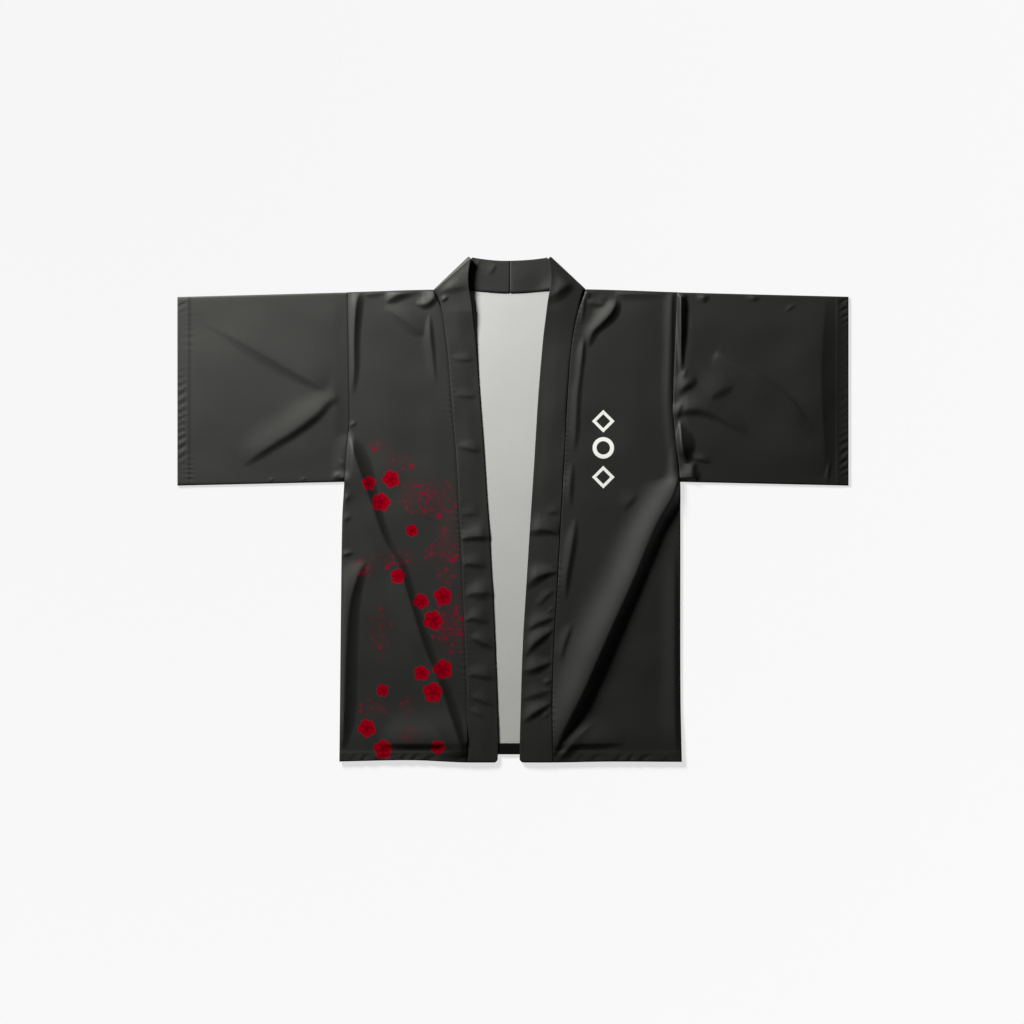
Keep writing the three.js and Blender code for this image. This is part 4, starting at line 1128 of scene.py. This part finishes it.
def stitching_lines():
    """Every row of stitches that shows: its line and the height of the cloth under it."""
    rows = []
    for front in (RIGHT_FRONT, LEFT_FRONT):
        out = outward(front)

        def on_front(x, y, front=front):
            return front_height(front, x, y)

        y = np.linspace(-TOP + 3, 300, 180)
        rows.append((np.column_stack([band_seam(front, y) + out * BESIDE_BAND, y]), on_front))
        ends = band_seam(front, np.array([-TOP]))[0], read(front.side, np.array([-TOP]))[0]
        x = np.linspace(ends[0] + out * 2, ends[1] - out * 2, 60)
        rows.append((np.column_stack([x, read(FRONT_HEM, x) + HEM_WIDTH - STITCH_INSET]), on_front))
        y = np.linspace(ARMPIT + 4, ARMHOLE_TOP - 3, 90)
        rows.append((np.column_stack([read(front.side, y) - out * BESIDE_ARMHOLE, y]), on_front))
    for sleeve in (RIGHT_SLEEVE, LEFT_SLEEVE):

        def on_sleeve(x, y, sleeve=sleeve):
            arm = sleeve_arm(sleeve, y)
            return sleeve_height(sleeve, x, y, (x - arm) / (sleeve.cuff - arm))

        y = np.linspace(CUFF_FOOT + 4, 331, 90)
        x = np.full(len(y), sleeve.cuff - math.copysign(CUFF_WIDTH - CUFF_INSET, sleeve.cuff))
        rows.append((np.column_stack([x, y]), on_sleeve))

    def on_band(x, y):
        return np.full(len(x), BAND)

    def on_back_hem(x, y):
        return np.full(len(x), FRONT_REST + CLOTH)

    x = np.linspace(*NECK_STITCHES, 60)
    rows.append((np.column_stack([x, read(BACK_TOP, x) + SEAM + BESIDE_NECK_SEAM]), on_band))
    y = np.linspace(*TACK, 12)
    x = np.full(len(y), CENTRE_BACK + BESIDE_CENTRE)
    rows.append((np.column_stack([x, y]), on_band))
    x = np.linspace(*BACK_HEM_STITCHES, 20)
    rows.append((np.column_stack([x, read(BACK_HEM, x) + HEM_WIDTH - STITCH_INSET]), on_back_hem))
    return rows


class JacketSizes(bpy.types.PropertyGroup):
    cloth: FloatProperty(
        name="Cloth", description="Wall of one layer of cloth", default=0.0009, unit="LENGTH"
    )
    mesh_step: FloatProperty(
        name="Mesh step", description="Size of the faces of the cloth", default=0.002, unit="LENGTH"
    )
    unevenness: FloatProperty(
        name="Unevenness", description="Height of the soft waves in the cloth", default=0.0008, unit="LENGTH"
    )
    pucker_depth: FloatProperty(
        name="Puckers", description="Height of the ripples beside seams", default=0.0002, unit="LENGTH"
    )
    crease_strength: FloatProperty(
        name="Creases", description="Height of the folds, where 1 is as laid", default=0.75, subtype="FACTOR"
    )


class JacketColours(bpy.types.PropertyGroup):
    shell: FloatVectorProperty(
        name="Outside",
        description="Black outside of the cloth",
        default=(0.0045, 0.0045, 0.0043),
        subtype="COLOR",
    )
    hem: FloatVectorProperty(
        name="Hem",
        description="Turned-up edge of the back",
        default=(0.0025, 0.0025, 0.0025),
        subtype="COLOR",
    )
    inside: FloatVectorProperty(
        name="Inside", description="Unprinted inner side", default=(0.444, 0.448, 0.452), subtype="COLOR"
    )
    blossom: FloatVectorProperty(
        name="Blossoms", description="Printed blossoms", default=(0.26, 0.0, 0.008), subtype="COLOR"
    )
    speckle: FloatVectorProperty(
        name="Dots",
        description="Printed dots round the blossoms",
        default=(0.19, 0.002, 0.02),
        subtype="COLOR",
    )
    roughness: FloatProperty(
        name="Roughness", description="Roughness of the black cloth", default=0.6, subtype="FACTOR"
    )
    sheen: FloatProperty(name="Sheen", description="Sheen of the black cloth", default=0.5, subtype="FACTOR")
    mark: FloatVectorProperty(
        name="Marks", description="Plain marks on the chest", default=(0.85, 0.85, 0.85), subtype="COLOR"
    )
    # Black thread, darker than the cloth: partly its own colour, partly painted shade for the shadow in the
    # needle holes.
    thread: FloatVectorProperty(
        name="Thread", description="Sewing thread", default=(0.002, 0.002, 0.002), subtype="COLOR"
    )


class JacketStage(bpy.types.PropertyGroup):
    lamp_power: FloatProperty(name="Lamp", description="Power of the lamp", default=110, unit="POWER")
    lamp_size: FloatProperty(name="Lamp size", description="Width of the lamp", default=0.6, unit="LENGTH")
    sky: FloatProperty(name="Sky", description="Strength of the light from all round", default=0.03)
    floor_shade: FloatProperty(
        name="Floor shade", description="Grey of the floor under the jacket", default=0.235, subtype="FACTOR"
    )
    floor_glow: FloatProperty(name="Floor glow", description="Light that the floor gives off", default=0.69)


class JACKET_OT_back(bpy.types.Operator):
    """Back panel with its pale inner side up, and its turned-up hem"""

    bl_idname = "jacket.back"
    bl_label = "Back"

    def execute(self, context):
        stuff = cloth_materials()
        make_back([stuff["pale inner side"], stuff["black cloth"]])
        make_back_hem([stuff["hem cloth"]])
        return {"FINISHED"}


class JACKET_OT_fronts(bpy.types.Operator):
    """Both front panels, with folds, hems and print"""

    bl_idname = "jacket.fronts"
    bl_label = "Fronts"

    def execute(self, context):
        stuff = cloth_materials()
        pale, black = stuff["pale inner side"], stuff["black cloth"]
        blossoms, marks = stuff["black cloth with blossoms"], stuff["black cloth with marks"]
        make_front("front_right", RIGHT_FRONT, [blossoms, pale, blossoms, black])
        make_front("front_left", LEFT_FRONT, [marks, pale, marks, black])
        return {"FINISHED"}


class JACKET_OT_sleeves(bpy.types.Operator):
    """Both sleeves, tubes of cloth pressed flat"""

    bl_idname = "jacket.sleeves"
    bl_label = "Sleeves"

    def execute(self, context):
        stuff = cloth_materials()
        black = stuff["black cloth"]
        materials = [black, stuff["pale inner side"], black, black]
        make_sleeve("sleeve_right", RIGHT_SLEEVE, materials)
        make_sleeve("sleeve_left", LEFT_SLEEVE, materials)
        return {"FINISHED"}


class JACKET_OT_collar(bpy.types.Operator):
    """Both halves of the doubled collar band"""

    bl_idname = "jacket.collar"
    bl_label = "Collar"

    def execute(self, context):
        materials = [cloth_materials()["collar cloth"]]
        make_collar("collar_right", RIGHT_COLLAR, materials)
        make_collar("collar_left", LEFT_COLLAR, materials)
        return {"FINISHED"}


class JACKET_OT_stitching(bpy.types.Operator):
    """Stitches along the hems, cuffs and collar"""

    bl_idname = "jacket.stitching"
    bl_label = "Stitching"

    def execute(self, context):
        bm = bmesh.new()
        for line, height in stitching_lines():
            stitch_row(bm, line, height)
        mesh = bpy.data.meshes.new("stitching")
        bm.to_mesh(mesh)
        bm.free()
        mesh.shade_smooth()
        piece = bpy.data.objects.new("stitching", mesh)
        context.scene.collection.objects.link(piece)
        dress(piece, None, [cloth_materials()["black thread"]])
        return {"FINISHED"}


LAMP = Vector((-1.25, 1.5, 0.94))
LAMP_COLOUR = (1, 1, 0.94)
FLOOR_HALF = 30
FLOOR_DROP = 0.0003  # how far the floor lies under the cloth
PHOTO_WIDTH = 1.6123  # width of the picture at the floor, in metres
PHOTO_CENTRE = (-0.0016, -0.0039)
LENS = 100
SENSOR = 36


def floor_material():
    """A pale floor whose paint evens out the lamp's fall-off, so that only shadows show on it."""
    stage = bpy.context.scene.jacket_stage
    material, tree, shader = new_material("pale floor")
    place = add(tree, "TexCoord").outputs["Object"]
    away = add(tree, "VectorMath", {0: place, 1: LAMP}, operation="SUBTRACT").outputs["Vector"]
    aim = -LAMP.normalized()
    reach = add(tree, "VectorMath", {0: away}, operation="LENGTH").outputs["Value"]
    ahead = add(tree, "VectorMath", {0: away, 1: aim}, operation="DOT_PRODUCT").outputs["Value"]
    spread = maths(tree, "POWER", maths(tree, "DIVIDE", reach, LAMP.length), 4.0)
    spread = maths(tree, "DIVIDE", maths(tree, "MULTIPLY", spread, LAMP.length), ahead)
    grey = maths(tree, "MULTIPLY", spread, stage.floor_shade, clamp=True)
    shader.inputs["Roughness"].default_value = 1
    shader.inputs["Specular IOR Level"].default_value = 0
    shader.inputs["Emission Color"].default_value = (1, 1, 1, 1)
    shader.inputs["Emission Strength"].default_value = stage.floor_glow
    blue = maths(tree, "DIVIDE", grey, LAMP_COLOUR[2])
    paint = add(tree, "CombineColor", {0: grey, 1: grey, 2: blue})
    tree.links.new(paint.outputs[0], shader.inputs["Base Color"])
    return material


class JACKET_OT_stage(bpy.types.Operator):
    """Pale floor, a lamp low on the upper left, and the camera straight above"""

    bl_idname = "jacket.stage"
    bl_label = "Stage"

    def execute(self, context):
        stage = context.scene.jacket_stage
        bm = bmesh.new()
        bmesh.ops.create_grid(bm, x_segments=1, y_segments=1, size=FLOOR_HALF)
        mesh = bpy.data.meshes.new("floor")
        bm.to_mesh(mesh)
        bm.free()
        floor = bpy.data.objects.new("floor", mesh)
        floor.location.z = -FLOOR_DROP
        context.scene.collection.objects.link(floor)
        mesh.materials.append(floor_material())

        key = bpy.data.lights.new("key", "AREA")
        key.shape = "DISK"
        key.size = stage.lamp_size
        key.energy = stage.lamp_power
        key.color = LAMP_COLOUR
        lamp = bpy.data.objects.new("key", key)
        lamp.location = LAMP
        lamp.rotation_euler = (-LAMP).to_track_quat("-Z", "Y").to_euler()
        context.scene.collection.objects.link(lamp)

        world = bpy.data.worlds.new("studio")
        world.use_nodes = True
        world.node_tree.nodes["Background"].inputs["Color"].default_value = (1, 1, 1, 1)
        world.node_tree.nodes["Background"].inputs["Strength"].default_value = stage.sky
        context.scene.world = world

        lens = bpy.data.cameras.new("camera")
        lens.lens = LENS
        lens.sensor_width = SENSOR
        lens.clip_end = 50
        camera = bpy.data.objects.new("camera", lens)
        camera.location = (*PHOTO_CENTRE, PHOTO_WIDTH * LENS / SENSOR)
        context.scene.collection.objects.link(camera)
        context.scene.camera = camera
        context.scene.view_settings.view_transform = "Standard"
        return {"FINISHED"}


class JACKET_PT_panel(bpy.types.Panel):
    """Sizes, colours and pieces of the jacket"""

    bl_idname = "JACKET_PT_panel"
    bl_label = "Kimono Jacket"
    bl_space_type = "VIEW_3D"
    bl_region_type = "UI"
    bl_category = "Jacket"

    def draw(self, context):
        scene = context.scene
        for group in (scene.jacket_sizes, scene.jacket_colours, scene.jacket_stage):
            for name in group.__annotations__:
                self.layout.prop(group, name)
        for operator in OPERATORS:
            self.layout.operator(operator.bl_idname)


OPERATORS = (
    JACKET_OT_stage,
    JACKET_OT_back,
    JACKET_OT_fronts,
    JACKET_OT_sleeves,
    JACKET_OT_collar,
    JACKET_OT_stitching,
)
CLASSES = (JacketSizes, JacketColours, JacketStage, *OPERATORS, JACKET_PT_panel)


def register():
    for cls in CLASSES:
        bpy.utils.register_class(cls)
    bpy.types.Scene.jacket_sizes = PointerProperty(type=JacketSizes)
    bpy.types.Scene.jacket_colours = PointerProperty(type=JacketColours)
    bpy.types.Scene.jacket_stage = PointerProperty(type=JacketStage)


def unregister():
    del bpy.types.Scene.jacket_stage
    del bpy.types.Scene.jacket_colours
    del bpy.types.Scene.jacket_sizes
    for cls in reversed(CLASSES):
        bpy.utils.unregister_class(cls)


def main():
    register()
    bpy.ops.jacket.stage()
    bpy.ops.jacket.back()
    bpy.ops.jacket.fronts()
    bpy.ops.jacket.sleeves()
    bpy.ops.jacket.collar()
    bpy.ops.jacket.stitching()


if __name__ == "__main__":
    main()
